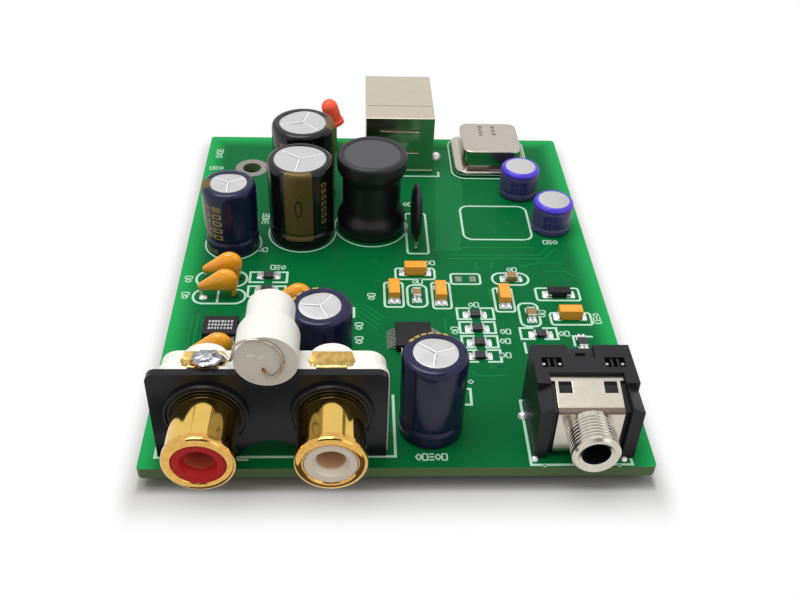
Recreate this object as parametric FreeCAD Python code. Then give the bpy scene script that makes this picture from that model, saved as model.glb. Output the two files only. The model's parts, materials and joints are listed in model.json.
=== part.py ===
import FreeCAD, Part
import math
import os

Vec = FreeCAD.Vector

# Circuit board in mm: places are from its front left corner, heights from its top face
BOARD_WIDTH = 65.0
BOARD_DEPTH = 82.0
BOARD_THICK = 1.6
BOARD_CORNER = 0.4
MOUNT_HOLE_X = 8.4
MOUNT_HOLE_FROM_BACK = 11.15
MOUNT_HOLE_RADIUS = 1.6
LEAD_TAIL = 1.8
LEAD_HALF = 0.27
HOLE_GAP = 0.12
TOUCH_GAP = 0.05

# Twin phono sockets: the two axes, the black front plate and the white housing behind it
PHONO_LEFT_X = 9.05
PHONO_PITCH = 15.05
PHONO_AXIS_Z = 7.6
PLATE_FRONT_Y = 2.0
PLATE_THICK = 1.0
PLATE_TOP = 14.05
PLATE_BESIDE_AXIS = 6.7
PLATE_CORNER = 1.2
PAD_RADIUS = 5.1
PAD_RISE = 0.4
ARCH_RADIUS = 4.4
ARCH_HEIGHT = 3.0
NOTCH_GAP = 0.12
HOUSING_INSET = 0.35
HOUSING_SHIFT = 0.55
HOUSING_FRONT_SLAB = 1.3
HOUSING_REAR_SLAB = 2.25
HOUSING_STEP = 0.3
HOUSING_CORNER = 2.3
BULGE_RADIUS = 2.8
BULGE_STANDS_OUT = 1.35
POST_AXIS_ABOVE_TOP = 2.03
POST_FACE_RADIUS = 3.77
POST_RADIUS = 2.97
POST_FACE_LENGTH = 4.6
POST_CONE_LENGTH = 1.9
POST_LENGTH = 9.8

# Phono shells, inserts, contacts and ground tabs
BARREL_RADIUS = 4.15
BARREL_LENGTH = 7.88
RIM_RADIUS = 4.32
RIM_LENGTH = 1.15
RIM_EDGE = 0.3
INSERT_RADIUS = 3.1
INSERT_RECESS = 0.25
FUNNEL_DEPTH = 1.0
PIN_HOLE_RADIUS = 1.75
CONTACT_BAR_HALF = 0.8
CONTACT_STRIP_HALF = 0.6
TAB_THICK = 0.35
TAB_PIN_TOP = 1.0
TAB_WINDOW_GAP = 0.25
TAB_NECK_HALF = 1.78
TAB_PIN_HALF = 0.6
TAB_FRONT_HALF = 3.1
TAB_BACK_HALF = 2.36
TAB_DEPTH = 2.7
TAB_WING_START = 0.48

# Loose wire and the solder lump that holds it on the left tab
SOLDER_HALF_WIDTH = 2.2
SOLDER_HALF_DEPTH = 1.3
SOLDER_HEIGHT = 0.75
SOLDER_SHIFT = 0.45
SOLDER_SIDES = 7
SOLDER_TOP_SHARE = 0.6
WIRE_RADIUS = 0.17
WIRE_AIR = 0.03
CURL_RADIUS = 3.2
CURL_FROM_POST_X = -1.2
CURL_FROM_POST_Z = 0.35
CURL_START = 135.0
CURL_END = -50.0
HOOK_RADIUS = 0.45
HOOK_END = -151.0
WIRE_TIP_LENGTH = 1.15
WIRE_SIDES = 5
CURL_STEPS = 10
HOOK_STEPS = 3

# The wire's way from the solder round the post's left side, from the middle of the post's face
WIRE_LEAD_IN = [
    (-6.625, 2.5, -1.08), (-5.825, 2.45, -0.63), (-4.975, 1.95, -0.83), (-4.375, 1.35, -1.08),
    (-4.125, 0.6, -0.38), (-3.825, -0.2, 0.82), (-3.625, -0.2, 1.62),
]

# Headphone socket
JACK_FROM_RIGHT = 9.1
JACK_HALF_WIDTH = 6.45
JACK_FRONT_Y = 1.55
JACK_PILLAR_BACK_Y = 5.4
JACK_BACK_Y = 12.55
JACK_TOP = 9.4
PILLAR_WIDTH = 1.6
PILLAR_INNER_TOP = 8.9
PILLAR_OUTER_TOP = 8.05
JACK_AXIS_Z = 5.15
SHEET_THICK = 0.5
SHEET_FRONT_Y = 1.9
SHEET_TOP = 8.9
SHEET_LOW_TOP = 7.85
SHEET_LEVEL_Y = 6.4
SHEET_BACK_Y = 7.3
SHEET_BOTTOM = 0.8
SHEET_HALF_WIDTH = 4.15
SHEET_EAR_HALF = 4.7
SHEET_EAR_DEPTH = 0.9
SHEET_BEND = 0.5
SHEET_BEND_SHARE = 0.3
WINDOW_OFFSET = 2.88
WINDOW_HALF_WIDTH = 0.82
WINDOW_FRONT_Y = 4.7
WINDOW_BACK_Y = 6.3
COLLAR_RADIUS = 3.0
COLLAR_FRONT_Y = -2.94
COLLAR_EDGE = 0.25
JACK_BORE_RADIUS = 1.8
JACK_MOUTH_RADIUS = 2.25
JACK_MOUTH_DEPTH = 0.45
JACK_BORE_DEPTH = 13.5
BLADE_OFFSET = 4.05
BLADE_HALF_WIDTH = 1.2
BLADE_THICK = 0.4
BLADE_Y = 9.25
BLADE_SLOT_HALF_DEPTH = 0.9
BLADE_SLOT_DEEP = 3.0
BLADE_BELOW_TOP = 0.6
REAR_RECESS_HALF = 1.7
REAR_RECESS_DEPTH = 0.6
REAR_RECESS_LENGTH = 2.45

# USB type B socket
USB_RIGHT_OF_MIDDLE = 2.34
USB_FRONT_FROM_BACK = 12.36
USB_HALF_WIDTH = 6.0
USB_DEPTH = 16.4
USB_TOP = 11.0
USB_WALL = 0.4
USB_SLIT_HEIGHTS = (4.36, 8.57)
USB_SLIT_HALF_WIDTH = 3.4
USB_SLIT_HEIGHT = 0.3
USB_LEG_FROM_FRONT = 5.4
USB_LEG_HALF_WIDTH = 1.1
USB_CAVITY_HALF_WIDTH = 4.23
USB_CAVITY_HEIGHT = 7.8
USB_CAVITY_DEPTH = 9.0
USB_CAVITY_BEVEL = 1.6
USB_TONGUE_HALF_WIDTH = 2.8
USB_TONGUE_HEIGHT = 3.2
USB_CONTACT_HALF_WIDTH = 0.45
USB_CONTACT_THICK = 0.3
USB_CONTACT_OFFSET = 1.25
USB_ROW_GAP = 2.0
USB_PIN_FROM_FRONT = 2.2

# Clock oscillator
CLOCK_FROM_RIGHT = 13.45
CLOCK_FROM_BACK = 6.95
CLOCK_BASE_HALF = 6.6
CLOCK_BASE_BOTTOM = 0.15
CLOCK_BASE_THICK = 0.95
CLOCK_BASE_CORNER = 1.8
CLOCK_CAN_HALF = 5.25
CLOCK_CAN_CORNER = 1.7
CLOCK_CAN_HEIGHT = 3.4
CLOCK_PIN_OFFSET = 3.81

# Indicator lamp that leans to the left
LAMP_X = 23.3
LAMP_FROM_BACK = 3.0
LAMP_BASE_Z = 4.75
LAMP_LEAN = 17.0
LAMP_RADIUS = 1.5
LAMP_FLANGE_RADIUS = 1.7
LAMP_FLANGE_HEIGHT = 0.8
LAMP_STRAIGHT = 2.7
LAMP_PITCH = 2.54

# Electrolytic capacitors: size of each kind
NAVY_RADIUS = 4.2
NAVY_HEIGHT = 13.0
NAVY_LOW_HEIGHT = 11.55
NAVY_PITCH = 3.5
BLACK_RADIUS = 5.2
BLACK_HEIGHT = 14.1
BLACK_PITCH = 5.0
BLACK_SPACE = 1.2
VIOLET_RADIUS = 3.3
VIOLET_HEIGHT = 5.45
VIOLET_PITCH = 2.5
CAN_STANDOFF = 0.15
CAN_SHOULDER = 0.4
CAN_TALL = 8.0
BLACK_X = 18.3
BLACK_FROM_BACK = 31.25
BLACK_FRONT_Y = BOARD_DEPTH - BLACK_FROM_BACK
BLACK_REAR_Y = BLACK_FRONT_Y + 2 * BLACK_RADIUS + BLACK_SPACE
NAVY_LEFT_FROM_BACK = 34.4
VIOLET_REAR_FROM_RIGHT = 9.4
VIOLET_REAR_FROM_BACK = 18.5
VIOLET_FRONT_FROM_RIGHT = 5.25
VIOLET_FRONT_FROM_BACK = 29.0

# Each capacitor: place, height, radius and distance between its leads
CAPACITORS = {
    "navy_capacitor_front": (36.7, 7.1, NAVY_HEIGHT, NAVY_RADIUS, NAVY_PITCH),
    "navy_capacitor_middle": (22.35, 16.1, NAVY_HEIGHT, NAVY_RADIUS, NAVY_PITCH),
    "navy_capacitor_left": (
        7.35, BOARD_DEPTH - NAVY_LEFT_FROM_BACK, NAVY_LOW_HEIGHT, NAVY_RADIUS, NAVY_PITCH),
    "black_capacitor_front": (BLACK_X, BLACK_FRONT_Y, BLACK_HEIGHT, BLACK_RADIUS, BLACK_PITCH),
    "black_capacitor_rear": (BLACK_X, BLACK_REAR_Y, BLACK_HEIGHT, BLACK_RADIUS, BLACK_PITCH),
    "violet_capacitor_rear": (
        BOARD_WIDTH - VIOLET_REAR_FROM_RIGHT, BOARD_DEPTH - VIOLET_REAR_FROM_BACK,
        VIOLET_HEIGHT, VIOLET_RADIUS, VIOLET_PITCH),
    "violet_capacitor_front": (
        BOARD_WIDTH - VIOLET_FRONT_FROM_RIGHT, BOARD_DEPTH - VIOLET_FRONT_FROM_BACK,
        VIOLET_HEIGHT, VIOLET_RADIUS, VIOLET_PITCH),
}

# Choke and the flat fuse beside it
CHOKE_RADIUS = 5.6
CHOKE_WAIST_RADIUS = 4.7
CHOKE_HEIGHT = 14.0
CHOKE_FLANGE = 2.7
CHOKE_SLOPE = 0.9
CHOKE_SPACE = 0.5
CHOKE_PITCH = 5.0
CHOKE_FROM_BACK = 29.15
CHOKE_X = BLACK_X + BLACK_RADIUS + CHOKE_SPACE + CHOKE_RADIUS
CHOKE_Y = BOARD_DEPTH - CHOKE_FROM_BACK
FUSE_RADIUS = 4.7
FUSE_THICK = 1.7
FUSE_SPACE = 0.7
FUSE_BOTTOM = 0.8
FUSE_PITCH = 5.0
FUSE_FROM_BACK = 33.3
FUSE_X = CHOKE_X + CHOKE_RADIUS + FUSE_SPACE + FUSE_THICK / 2
FUSE_Y = BOARD_DEPTH - FUSE_FROM_BACK

# Orange dipped capacitors: a drop shape that leans over its right lead
DROP_PITCH = 5.08
DROP_BULB_RADIUS = 1.9
DROP_TAIL_RADIUS = 0.7
DROP_BULB_X = 1.3
DROP_TAIL_X = -2.25
DROP_BULB_Z = 3.05
DROP_TAIL_Z = 1.9
DROP_THICK = 2.7
DROP_EDGE = 0.55
DROP_BULB_STEPS = 9
DROP_TAIL_STEPS = 3
DROP_FRONT_FROM_BACK = 62.3
DROP_PLACES = {
    "dipped_capacitor_rear": (6.6, BOARD_DEPTH - 43.7),
    "dipped_capacitor_middle": (6.4, BOARD_DEPTH - 48.0),
    "dipped_capacitor_front": (6.9, BOARD_DEPTH - DROP_FRONT_FROM_BACK),
    "dipped_capacitor_right": (17.35, BOARD_DEPTH - 51.3),
}

# Chip parts: half length, half width, height, and the length and height of each metal end
TANTALUM_SIZE = (1.75, 0.85, 1.7, 0.3, 0.6)
CERAMIC_SIZE = (1.0, 0.65, 0.95, 0.32, 0.95)
RESISTOR_SIZE = (1.05, 0.65, 0.55, 0.32, 0.55)
DIODE_SIZE = (1.75, 0.75, 1.1, 0.6, 0.7)

# Places of the chip parts and the axis each one lies along
TANTALUM_PLACES = [
    (36.35, BOARD_DEPTH - 41.9, "x"),
    (32.85, BOARD_DEPTH - 47.3, "y"),
    (39.95, BOARD_DEPTH - 47.7, "y"),
    (BOARD_WIDTH - 15.4, BOARD_DEPTH - 48.4, "y"),
    (BOARD_WIDTH - 6.0, BOARD_DEPTH - 52.6, "x"),
]
CERAMIC_PLACES = [
    (36.3, BOARD_DEPTH - 47.8, "y"),
    (BOARD_WIDTH - 13.7, BOARD_DEPTH - 43.5, "x"),
    (BOARD_WIDTH - 11.8, BOARD_DEPTH - 52.4, "y"),
]
RESISTOR_PLACES = [
    (BOARD_WIDTH / 2 + 12.25, BOARD_DEPTH - 52.3, "x"),
    (BOARD_WIDTH / 2 + 12.3, BOARD_DEPTH - 55.5, "x"),
    (BOARD_WIDTH / 2 + 12.3, BOARD_DEPTH - 58.6, "x"),
    (BOARD_WIDTH / 2 + 12.1, BOARD_DEPTH - 61.45, "x"),
    (BOARD_WIDTH - 11.0, BOARD_DEPTH - 56.8, "x"),
    (BOARD_WIDTH - 5.2, BOARD_DEPTH - 58.6, "y"),
    (13.6, BOARD_DEPTH - 43.1, "x"),
    (13.5, BOARD_DEPTH - 46.6, "x"),
]
DIODE_PLACE = (BOARD_WIDTH - 6.85, BOARD_DEPTH - 47.4, "x")

# Amplifier chip with two rows of leads, converter chip with four
AMPLIFIER_PLACE = (7.7, BOARD_DEPTH - 56.5)
AMPLIFIER_HALF = (2.45, 1.95)
AMPLIFIER_TOP = 1.65
AMPLIFIER_PITCH = 1.27
AMPLIFIER_LEAD_COUNT = 4
AMPLIFIER_LEAD_WIDTH = 0.42
CONVERTER_PLACE = (35.3, BOARD_DEPTH - 57.9)
CONVERTER_HALF = (2.6, 2.6)
CONVERTER_TOP = 1.25
CONVERTER_PITCH = 0.5
CONVERTER_LEAD_COUNT = 8
CONVERTER_LEAD_WIDTH = 0.22
CHIP_BOTTOM = 0.15
CHIP_LEAD_REACH = 1.0
CHIP_LEAD_THICK = 0.14

# Places that follow from the sizes above
TAIL_TIP = -BOARD_THICK - LEAD_TAIL
PHONO_AXES = (PHONO_LEFT_X, PHONO_LEFT_X + PHONO_PITCH)
PHONO_MIDDLE = PHONO_LEFT_X + PHONO_PITCH / 2
PLATE_BACK_Y = PLATE_FRONT_Y + PLATE_THICK
PAD_FRONT_Y = PLATE_FRONT_Y - PAD_RISE
TAB_BACK_Y = PLATE_BACK_Y + TAB_THICK
HOUSING_BACK_Y = PLATE_BACK_Y + HOUSING_FRONT_SLAB + HOUSING_REAR_SLAB
BULGE_BACK_Y = HOUSING_BACK_Y + BULGE_STANDS_OUT
BARREL_FRONT_Y = PAD_FRONT_Y - BARREL_LENGTH
POST_AXIS_Z = PLATE_TOP + POST_AXIS_ABOVE_TOP
JACK_X = BOARD_WIDTH - JACK_FROM_RIGHT
USB_X = BOARD_WIDTH / 2 + USB_RIGHT_OF_MIDDLE
USB_FRONT_Y = BOARD_DEPTH - USB_FRONT_FROM_BACK
USB_BACK_Y = USB_FRONT_Y + USB_DEPTH
CLOCK_X = BOARD_WIDTH - CLOCK_FROM_RIGHT
CLOCK_Y = BOARD_DEPTH - CLOCK_FROM_BACK
LAMP_Y = BOARD_DEPTH - LAMP_FROM_BACK


def box(x_range, y_range, z_range):
    """Block between two limits along each axis."""
    corner = Vec(x_range[0], y_range[0], z_range[0])
    size = [limits[1] - limits[0] for limits in (x_range, y_range, z_range)]
    return Part.makeBox(size[0], size[1], size[2], corner)


def centred(middle, half):
    """Limits that lie the same distance either side of a middle."""
    return (middle - half, middle + half)


def lead(place, z_range, gap=0):
    """Upright square lead at a place, or the hole for it."""
    half = LEAD_HALF + gap
    return box(centred(place[0], half), centred(place[1], half), z_range)


def rod_z(x, y, radius, z_range):
    """Upright round bar."""
    return Part.makeCylinder(radius, z_range[1] - z_range[0], Vec(x, y, z_range[0]))


def rod_y(x, z, radius, y_range):
    """Round bar that runs from the front to the back."""
    return Part.makeCylinder(radius, y_range[1] - y_range[0], Vec(x, y_range[0], z), Vec(0, 1, 0))


def face(points):
    """Flat face inside a closed row of points."""
    return Part.Face(Part.makePolygon(points + points[:1]))


def turned_z(profile, x, y):
    """Round body about an upright axis, from radius and height pairs."""
    outline = face([Vec(x + radius, y, z) for radius, z in profile])
    return outline.revolve(Vec(x, y, 0), Vec(0, 0, 1), 360)


def turned_y(profile, x, z):
    """Round body about an axis from front to back, from radius and depth pairs."""
    outline = face([Vec(x + radius, y, z) for radius, y in profile])
    return outline.revolve(Vec(x, 0, z), Vec(0, 1, 0), 360)


def prism_x(profile, x_range):
    """Outline of depth and height pairs, drawn out sideways."""
    outline = face([Vec(x_range[0], y, z) for y, z in profile])
    return outline.extrude(Vec(x_range[1] - x_range[0], 0, 0))


def prism_y(profile, y_range):
    """Outline of side and height pairs, drawn out to the back."""
    outline = face([Vec(x, y_range[0], z) for x, z in profile])
    return outline.extrude(Vec(0, y_range[1] - y_range[0], 0))


def prism_z(profile, z_range):
    """Outline of side and depth pairs, drawn out upwards."""
    outline = face([Vec(x, y, z_range[0]) for x, y in profile])
    return outline.extrude(Vec(0, 0, z_range[1] - z_range[0]))


def mitred_bar(path, radius, sides):
    """Thin bar of a few sides along straight steps, with its section turned into each corner."""
    rings = []
    side = None
    for i, point in enumerate(path):
        before = (point - path[i - 1]).normalize() if i else (path[1] - point).normalize()
        after = (path[i + 1] - point).normalize() if i + 1 < len(path) else before
        if side is None:
            side = before.cross(Vec(0, 1, 0)).normalize()
        heading = (before + after).normalize()
        side = (side - heading * side.dot(heading)).normalize()
        other = heading.cross(side)
        turns = [math.tau * k / sides for k in range(sides)]
        rings.append([point + (side * math.cos(t) + other * math.sin(t)) * radius for t in turns])
    faces = [face(rings[0]), face(rings[-1])]
    for ring, following in zip(rings, rings[1:]):
        for k in range(sides):
            near, far = ring[k], ring[(k + 1) % sides]
            faces.append(face([near, far, following[k]]))
            faces.append(face([far, following[(k + 1) % sides], following[k]]))
    return Part.Solid(Part.Shell(faces))


def edges_along(shape, axis):
    """Straight edges that run along an axis."""
    found = []
    for edge in shape.Edges:
        direction = edge.tangentAt(edge.FirstParameter)
        if isinstance(edge.Curve, Part.Line) and direction.cross(axis).Length < 1e-6:
            found.append(edge)
    return found


def round_upright(shape, radius):
    """Round all upright corners of a block."""
    return shape.makeFillet(radius, edges_along(shape, Vec(0, 0, 1)))


def round_top_corners(shape, radius):
    """Round the two top corners of a slab that stands across the board."""
    top = shape.BoundBox.ZMax
    corners = [e for e in edges_along(shape, Vec(0, 1, 0)) if e.BoundBox.ZMin > top - 1e-3]
    return shape.makeFillet(radius, corners)


def fused(shapes):
    """One solid from touching shapes."""
    result = shapes[0].multiFuse(shapes[1:]) if len(shapes) > 1 else shapes[0]
    return result.removeSplitter()


def contact_bar(x, y_range, gap):
    """Square bar of a centre contact, or the hole for it."""
    half = CONTACT_BAR_HALF + gap
    return box(centred(x, half), y_range, centred(PHONO_AXIS_Z, half))


def phono_faceplate():
    """Black front plate with a raised pad behind each barrel, a top notch and an arch below."""
    width = centred(PHONO_MIDDLE, PHONO_PITCH / 2 + PLATE_BESIDE_AXIS)
    through = (PLATE_FRONT_Y, PLATE_BACK_Y)
    plate = round_top_corners(box(width, through, (0, PLATE_TOP)), PLATE_CORNER)
    for x in PHONO_AXES:
        plate = plate.fuse(rod_y(x, PHONO_AXIS_Z, PAD_RADIUS, (PAD_FRONT_Y, PLATE_FRONT_Y)))
        plate = plate.cut(contact_bar(x, (PAD_FRONT_Y, PLATE_BACK_Y), TOUCH_GAP))
    plate = plate.cut(rod_y(PHONO_MIDDLE, POST_AXIS_Z, POST_FACE_RADIUS + NOTCH_GAP, through))
    arch = rod_y(PHONO_MIDDLE, ARCH_HEIGHT - ARCH_RADIUS, ARCH_RADIUS, through)
    return plate.cut(arch).removeSplitter()


def tab_outline(x, gap):
    """Flat part of a ground tab, seen from the front: pin below, broad neck above."""
    neck = TAB_NECK_HALF + gap
    pin = TAB_PIN_HALF + gap
    top = PLATE_TOP + TAB_THICK
    right = [(pin, TAIL_TIP), (pin, TAB_PIN_TOP - gap), (neck, TAB_PIN_TOP - gap), (neck, top)]
    left = [(-side, z) for side, z in reversed(right)]
    return [(x + side, z) for side, z in right + left]


def tab_flap(x):
    """Bent end of a ground tab, seen from above."""
    wing = PLATE_BACK_Y + TAB_WING_START
    back = PLATE_BACK_Y + TAB_DEPTH
    right = [(TAB_NECK_HALF, PLATE_BACK_Y), (TAB_NECK_HALF, TAB_BACK_Y),
             (TAB_FRONT_HALF, wing), (TAB_BACK_HALF, back)]
    left = [(-side, y) for side, y in reversed(right)]
    return [(x + side, y) for side, y in right + left]


def phono_ground_tab(x):
    """Gold stamping: pin below, neck with a window for the contact, flap bent over the housing."""
    flat = prism_y(tab_outline(x, 0), (PLATE_BACK_Y, TAB_BACK_Y))
    flap = prism_z(tab_flap(x), (PLATE_TOP, PLATE_TOP + TAB_THICK))
    window = contact_bar(x, (PLATE_BACK_Y, TAB_BACK_Y), TAB_WINDOW_GAP)
    return fused([flat.cut(window), flap])


def phono_housing():
    """White moulding behind the plate, with a bulge behind each axis and the round post on top."""
    half = PHONO_PITCH / 2 + PLATE_BESIDE_AXIS - HOUSING_INSET
    step_y = PLATE_BACK_Y + HOUSING_FRONT_SLAB
    middle = PHONO_MIDDLE + HOUSING_SHIFT
    front = box(centred(middle, half), (PLATE_BACK_Y, step_y), (0, PLATE_TOP))
    rear = box(centred(middle, half - HOUSING_STEP), (step_y, HOUSING_BACK_Y),
               (0, PLATE_TOP - HOUSING_STEP))
    solids = [round_top_corners(front, HOUSING_CORNER), round_top_corners(rear, HOUSING_CORNER)]
    for x in PHONO_AXES:
        upright = (0, PLATE_TOP - HOUSING_STEP)
        bulge = rod_z(x, BULGE_BACK_Y - BULGE_RADIUS, BULGE_RADIUS, upright)
        solids.append(bulge.common(box(centred(x, BULGE_RADIUS), (step_y, BULGE_BACK_Y), upright)))
    cone_y = PLATE_FRONT_Y + POST_FACE_LENGTH
    end_y = PLATE_FRONT_Y + POST_LENGTH
    solids.append(turned_y([
        (0, PLATE_FRONT_Y), (POST_FACE_RADIUS, PLATE_FRONT_Y), (POST_FACE_RADIUS, cone_y),
        (POST_RADIUS, cone_y + POST_CONE_LENGTH), (POST_RADIUS, end_y), (0, end_y)],
        PHONO_MIDDLE, POST_AXIS_Z))
    tunnel = box(centred(PHONO_MIDDLE, ARCH_RADIUS), (PLATE_BACK_Y, HOUSING_BACK_Y), (0, ARCH_HEIGHT))
    housing = fused(solids).cut(tunnel)
    for x in PHONO_AXES:
        housing = housing.cut(prism_y(tab_outline(x, TOUCH_GAP), (PLATE_BACK_Y, TAB_BACK_Y)))
        housing = housing.cut(contact_bar(x, (TAB_BACK_Y, BULGE_BACK_Y), TOUCH_GAP))
    return housing


def phono_shell(x):
    """Gold barrel with a thicker rim at its open end."""
    rim_back = BARREL_FRONT_Y + RIM_LENGTH
    bore = INSERT_RADIUS + TOUCH_GAP
    return turned_y([
        (bore, BARREL_FRONT_Y), (RIM_RADIUS - RIM_EDGE, BARREL_FRONT_Y),
        (RIM_RADIUS, BARREL_FRONT_Y + RIM_EDGE), (RIM_RADIUS, rim_back), (BARREL_RADIUS, rim_back),
        (BARREL_RADIUS, PAD_FRONT_Y), (bore, PAD_FRONT_Y)], x, PHONO_AXIS_Z)


def phono_insert(x):
    """Coloured plug in the barrel with a funnel that leads into the pin hole."""
    front = BARREL_FRONT_Y + INSERT_RECESS
    return turned_y([
        (PIN_HOLE_RADIUS, front + FUNNEL_DEPTH), (INSERT_RADIUS, front),
        (INSERT_RADIUS, PAD_FRONT_Y), (PIN_HOLE_RADIUS, PAD_FRONT_Y)], x, PHONO_AXIS_Z)


def phono_contact(x):
    """Centre contact at the bottom of the pin hole, with a strip down behind the housing."""
    strip = (BULGE_BACK_Y, BULGE_BACK_Y + TAB_THICK)
    bar = contact_bar(x, (PAD_FRONT_Y, strip[1]), 0)
    down = box(centred(x, CONTACT_STRIP_HALF), strip, (TAIL_TIP, PHONO_AXIS_Z))
    return fused([bar, down])


def ground_wire():
    """Bare wire that rises from the solder, curls in front of the post and ends in a hook."""
    y = PLATE_FRONT_Y - WIRE_AIR - WIRE_RADIUS
    middle = Vec(PHONO_MIDDLE + CURL_FROM_POST_X, y, POST_AXIS_Z + CURL_FROM_POST_Z)

    def around(centre, radius, degrees):
        angle = math.radians(degrees)
        return centre + Vec(radius * math.cos(angle), 0, radius * math.sin(angle))

    def bend(centre, radius, start, end, steps):
        return [around(centre, radius, start + (end - start) * i / steps) for i in range(steps + 1)]

    face_middle = Vec(PHONO_MIDDLE, PLATE_FRONT_Y, POST_AXIS_Z)
    hook = around(middle, CURL_RADIUS - HOOK_RADIUS, CURL_END)
    path = [face_middle + Vec(*step) for step in WIRE_LEAD_IN]
    path += bend(middle, CURL_RADIUS, CURL_START, CURL_END, CURL_STEPS)
    path += bend(hook, HOOK_RADIUS, CURL_END, HOOK_END, HOOK_STEPS)[1:]
    path.append(around(path[-1], WIRE_TIP_LENGTH, HOOK_END - 90))
    return mitred_bar(path, WIRE_RADIUS, WIRE_SIDES)


def ground_solder(wire):
    """Solder lump on the left flap, with the wire's foot in it."""
    x = PHONO_LEFT_X + SOLDER_SHIFT
    y = PLATE_BACK_Y + TAB_DEPTH / 2
    base = PLATE_TOP + TAB_THICK

    def ring(scale, z):
        points = []
        for step in range(SOLDER_SIDES):
            angle = math.tau * step / SOLDER_SIDES
            side = scale * SOLDER_HALF_WIDTH * math.cos(angle)
            points.append(Vec(x + side, y + scale * SOLDER_HALF_DEPTH * math.sin(angle), z))
        return Part.makePolygon(points + points[:1])

    lump = Part.makeLoft([ring(1.0, base), ring(SOLDER_TOP_SHARE, base + SOLDER_HEIGHT)], True, True)
    return lump.cut(wire)


def jack_slots(gap):
    """Upright spaces that the socket's three contact blades stand in, grown by a gap."""
    slots = []
    for side in (-BLADE_OFFSET, BLADE_OFFSET):
        slots.append((centred(JACK_X + side, BLADE_HALF_WIDTH + gap),
                      centred(BLADE_Y, BLADE_THICK / 2 + gap)))
    back = JACK_BACK_Y - REAR_RECESS_LENGTH / 2
    slots.append((centred(JACK_X, BLADE_HALF_WIDTH / 2 + gap), centred(back, BLADE_THICK / 2 + gap)))
    return slots


def jack_contacts():
    """Three blades that run down through the housing and the board."""
    top = JACK_TOP - REAR_RECESS_DEPTH - BLADE_BELOW_TOP
    return Part.makeCompound([box(x, y, (TAIL_TIP, top)) for x, y in jack_slots(0)])


def sheet_height(y):
    """Height of the sheet's sloping upper face at a depth."""
    start = SHEET_FRONT_Y + SHEET_BEND
    slope = (SHEET_TOP - SHEET_LOW_TOP) / (SHEET_LEVEL_Y - start)
    return SHEET_LOW_TOP + slope * (y - start)


def jack_housing():
    """Black moulding: rear block, lower front block and two bevelled pillars."""
    inner = JACK_HALF_WIDTH - PILLAR_WIDTH
    front_y = SHEET_FRONT_Y + SHEET_THICK
    front_top = sheet_height(front_y) - SHEET_THICK
    back_top = sheet_height(JACK_PILLAR_BACK_Y) - SHEET_THICK
    level_top = SHEET_TOP - SHEET_THICK
    lower = [(front_y, 0), (JACK_PILLAR_BACK_Y, 0), (JACK_PILLAR_BACK_Y, back_top), (front_y, front_top)]
    solids = [
        box(centred(JACK_X, JACK_HALF_WIDTH), (JACK_PILLAR_BACK_Y, JACK_BACK_Y), (0, JACK_TOP)),
        prism_x(lower, centred(JACK_X, inner)),
    ]
    for side in (-1, 1):
        pillar = [(inner, 0), (JACK_HALF_WIDTH, 0), (JACK_HALF_WIDTH, PILLAR_OUTER_TOP),
                  (inner, PILLAR_INNER_TOP)]
        outline = [(JACK_X + side * x, z) for x, z in pillar]
        solids.append(prism_y(outline, (JACK_FRONT_Y, JACK_PILLAR_BACK_Y)))
    housing = fused(solids)
    seat_back = SHEET_BACK_Y + TOUCH_GAP
    seat = [(JACK_PILLAR_BACK_Y, back_top), (SHEET_LEVEL_Y, level_top), (seat_back, level_top),
            (seat_back, JACK_TOP), (JACK_PILLAR_BACK_Y, JACK_TOP)]
    housing = housing.cut(prism_x(seat, centred(JACK_X, SHEET_EAR_HALF + TOUCH_GAP)))
    chamber = JACK_BORE_RADIUS + TOUCH_GAP
    bore = box(centred(JACK_X, chamber), (SHEET_FRONT_Y, COLLAR_FRONT_Y + JACK_BORE_DEPTH),
               centred(JACK_AXIS_Z, chamber))
    recess = box(centred(JACK_X, REAR_RECESS_HALF), (JACK_BACK_Y - REAR_RECESS_LENGTH, JACK_BACK_Y),
                 (JACK_TOP - REAR_RECESS_DEPTH, JACK_TOP))
    cuts = [bore, recess]
    for x, y in jack_slots(TOUCH_GAP):
        cuts.append(box(x, y, (0, JACK_TOP)))
    for side in (-BLADE_OFFSET, BLADE_OFFSET):
        cuts.append(box(centred(JACK_X + side, BLADE_HALF_WIDTH + 2 * TOUCH_GAP),
                        centred(BLADE_Y, BLADE_SLOT_HALF_DEPTH), (JACK_TOP - BLADE_SLOT_DEEP, JACK_TOP)))
    housing = housing.cut(cuts)
    nubs = []
    nub_y = (WINDOW_FRONT_Y + 2 * TOUCH_GAP, (WINDOW_FRONT_Y + WINDOW_BACK_Y) / 2)
    for side in (-WINDOW_OFFSET, WINDOW_OFFSET):
        nubs.append(box(centred(JACK_X + side, WINDOW_HALF_WIDTH - 2 * TOUCH_GAP), nub_y,
                        (front_top, sheet_height(WINDOW_FRONT_Y))))
    return fused([housing] + nubs)


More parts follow.
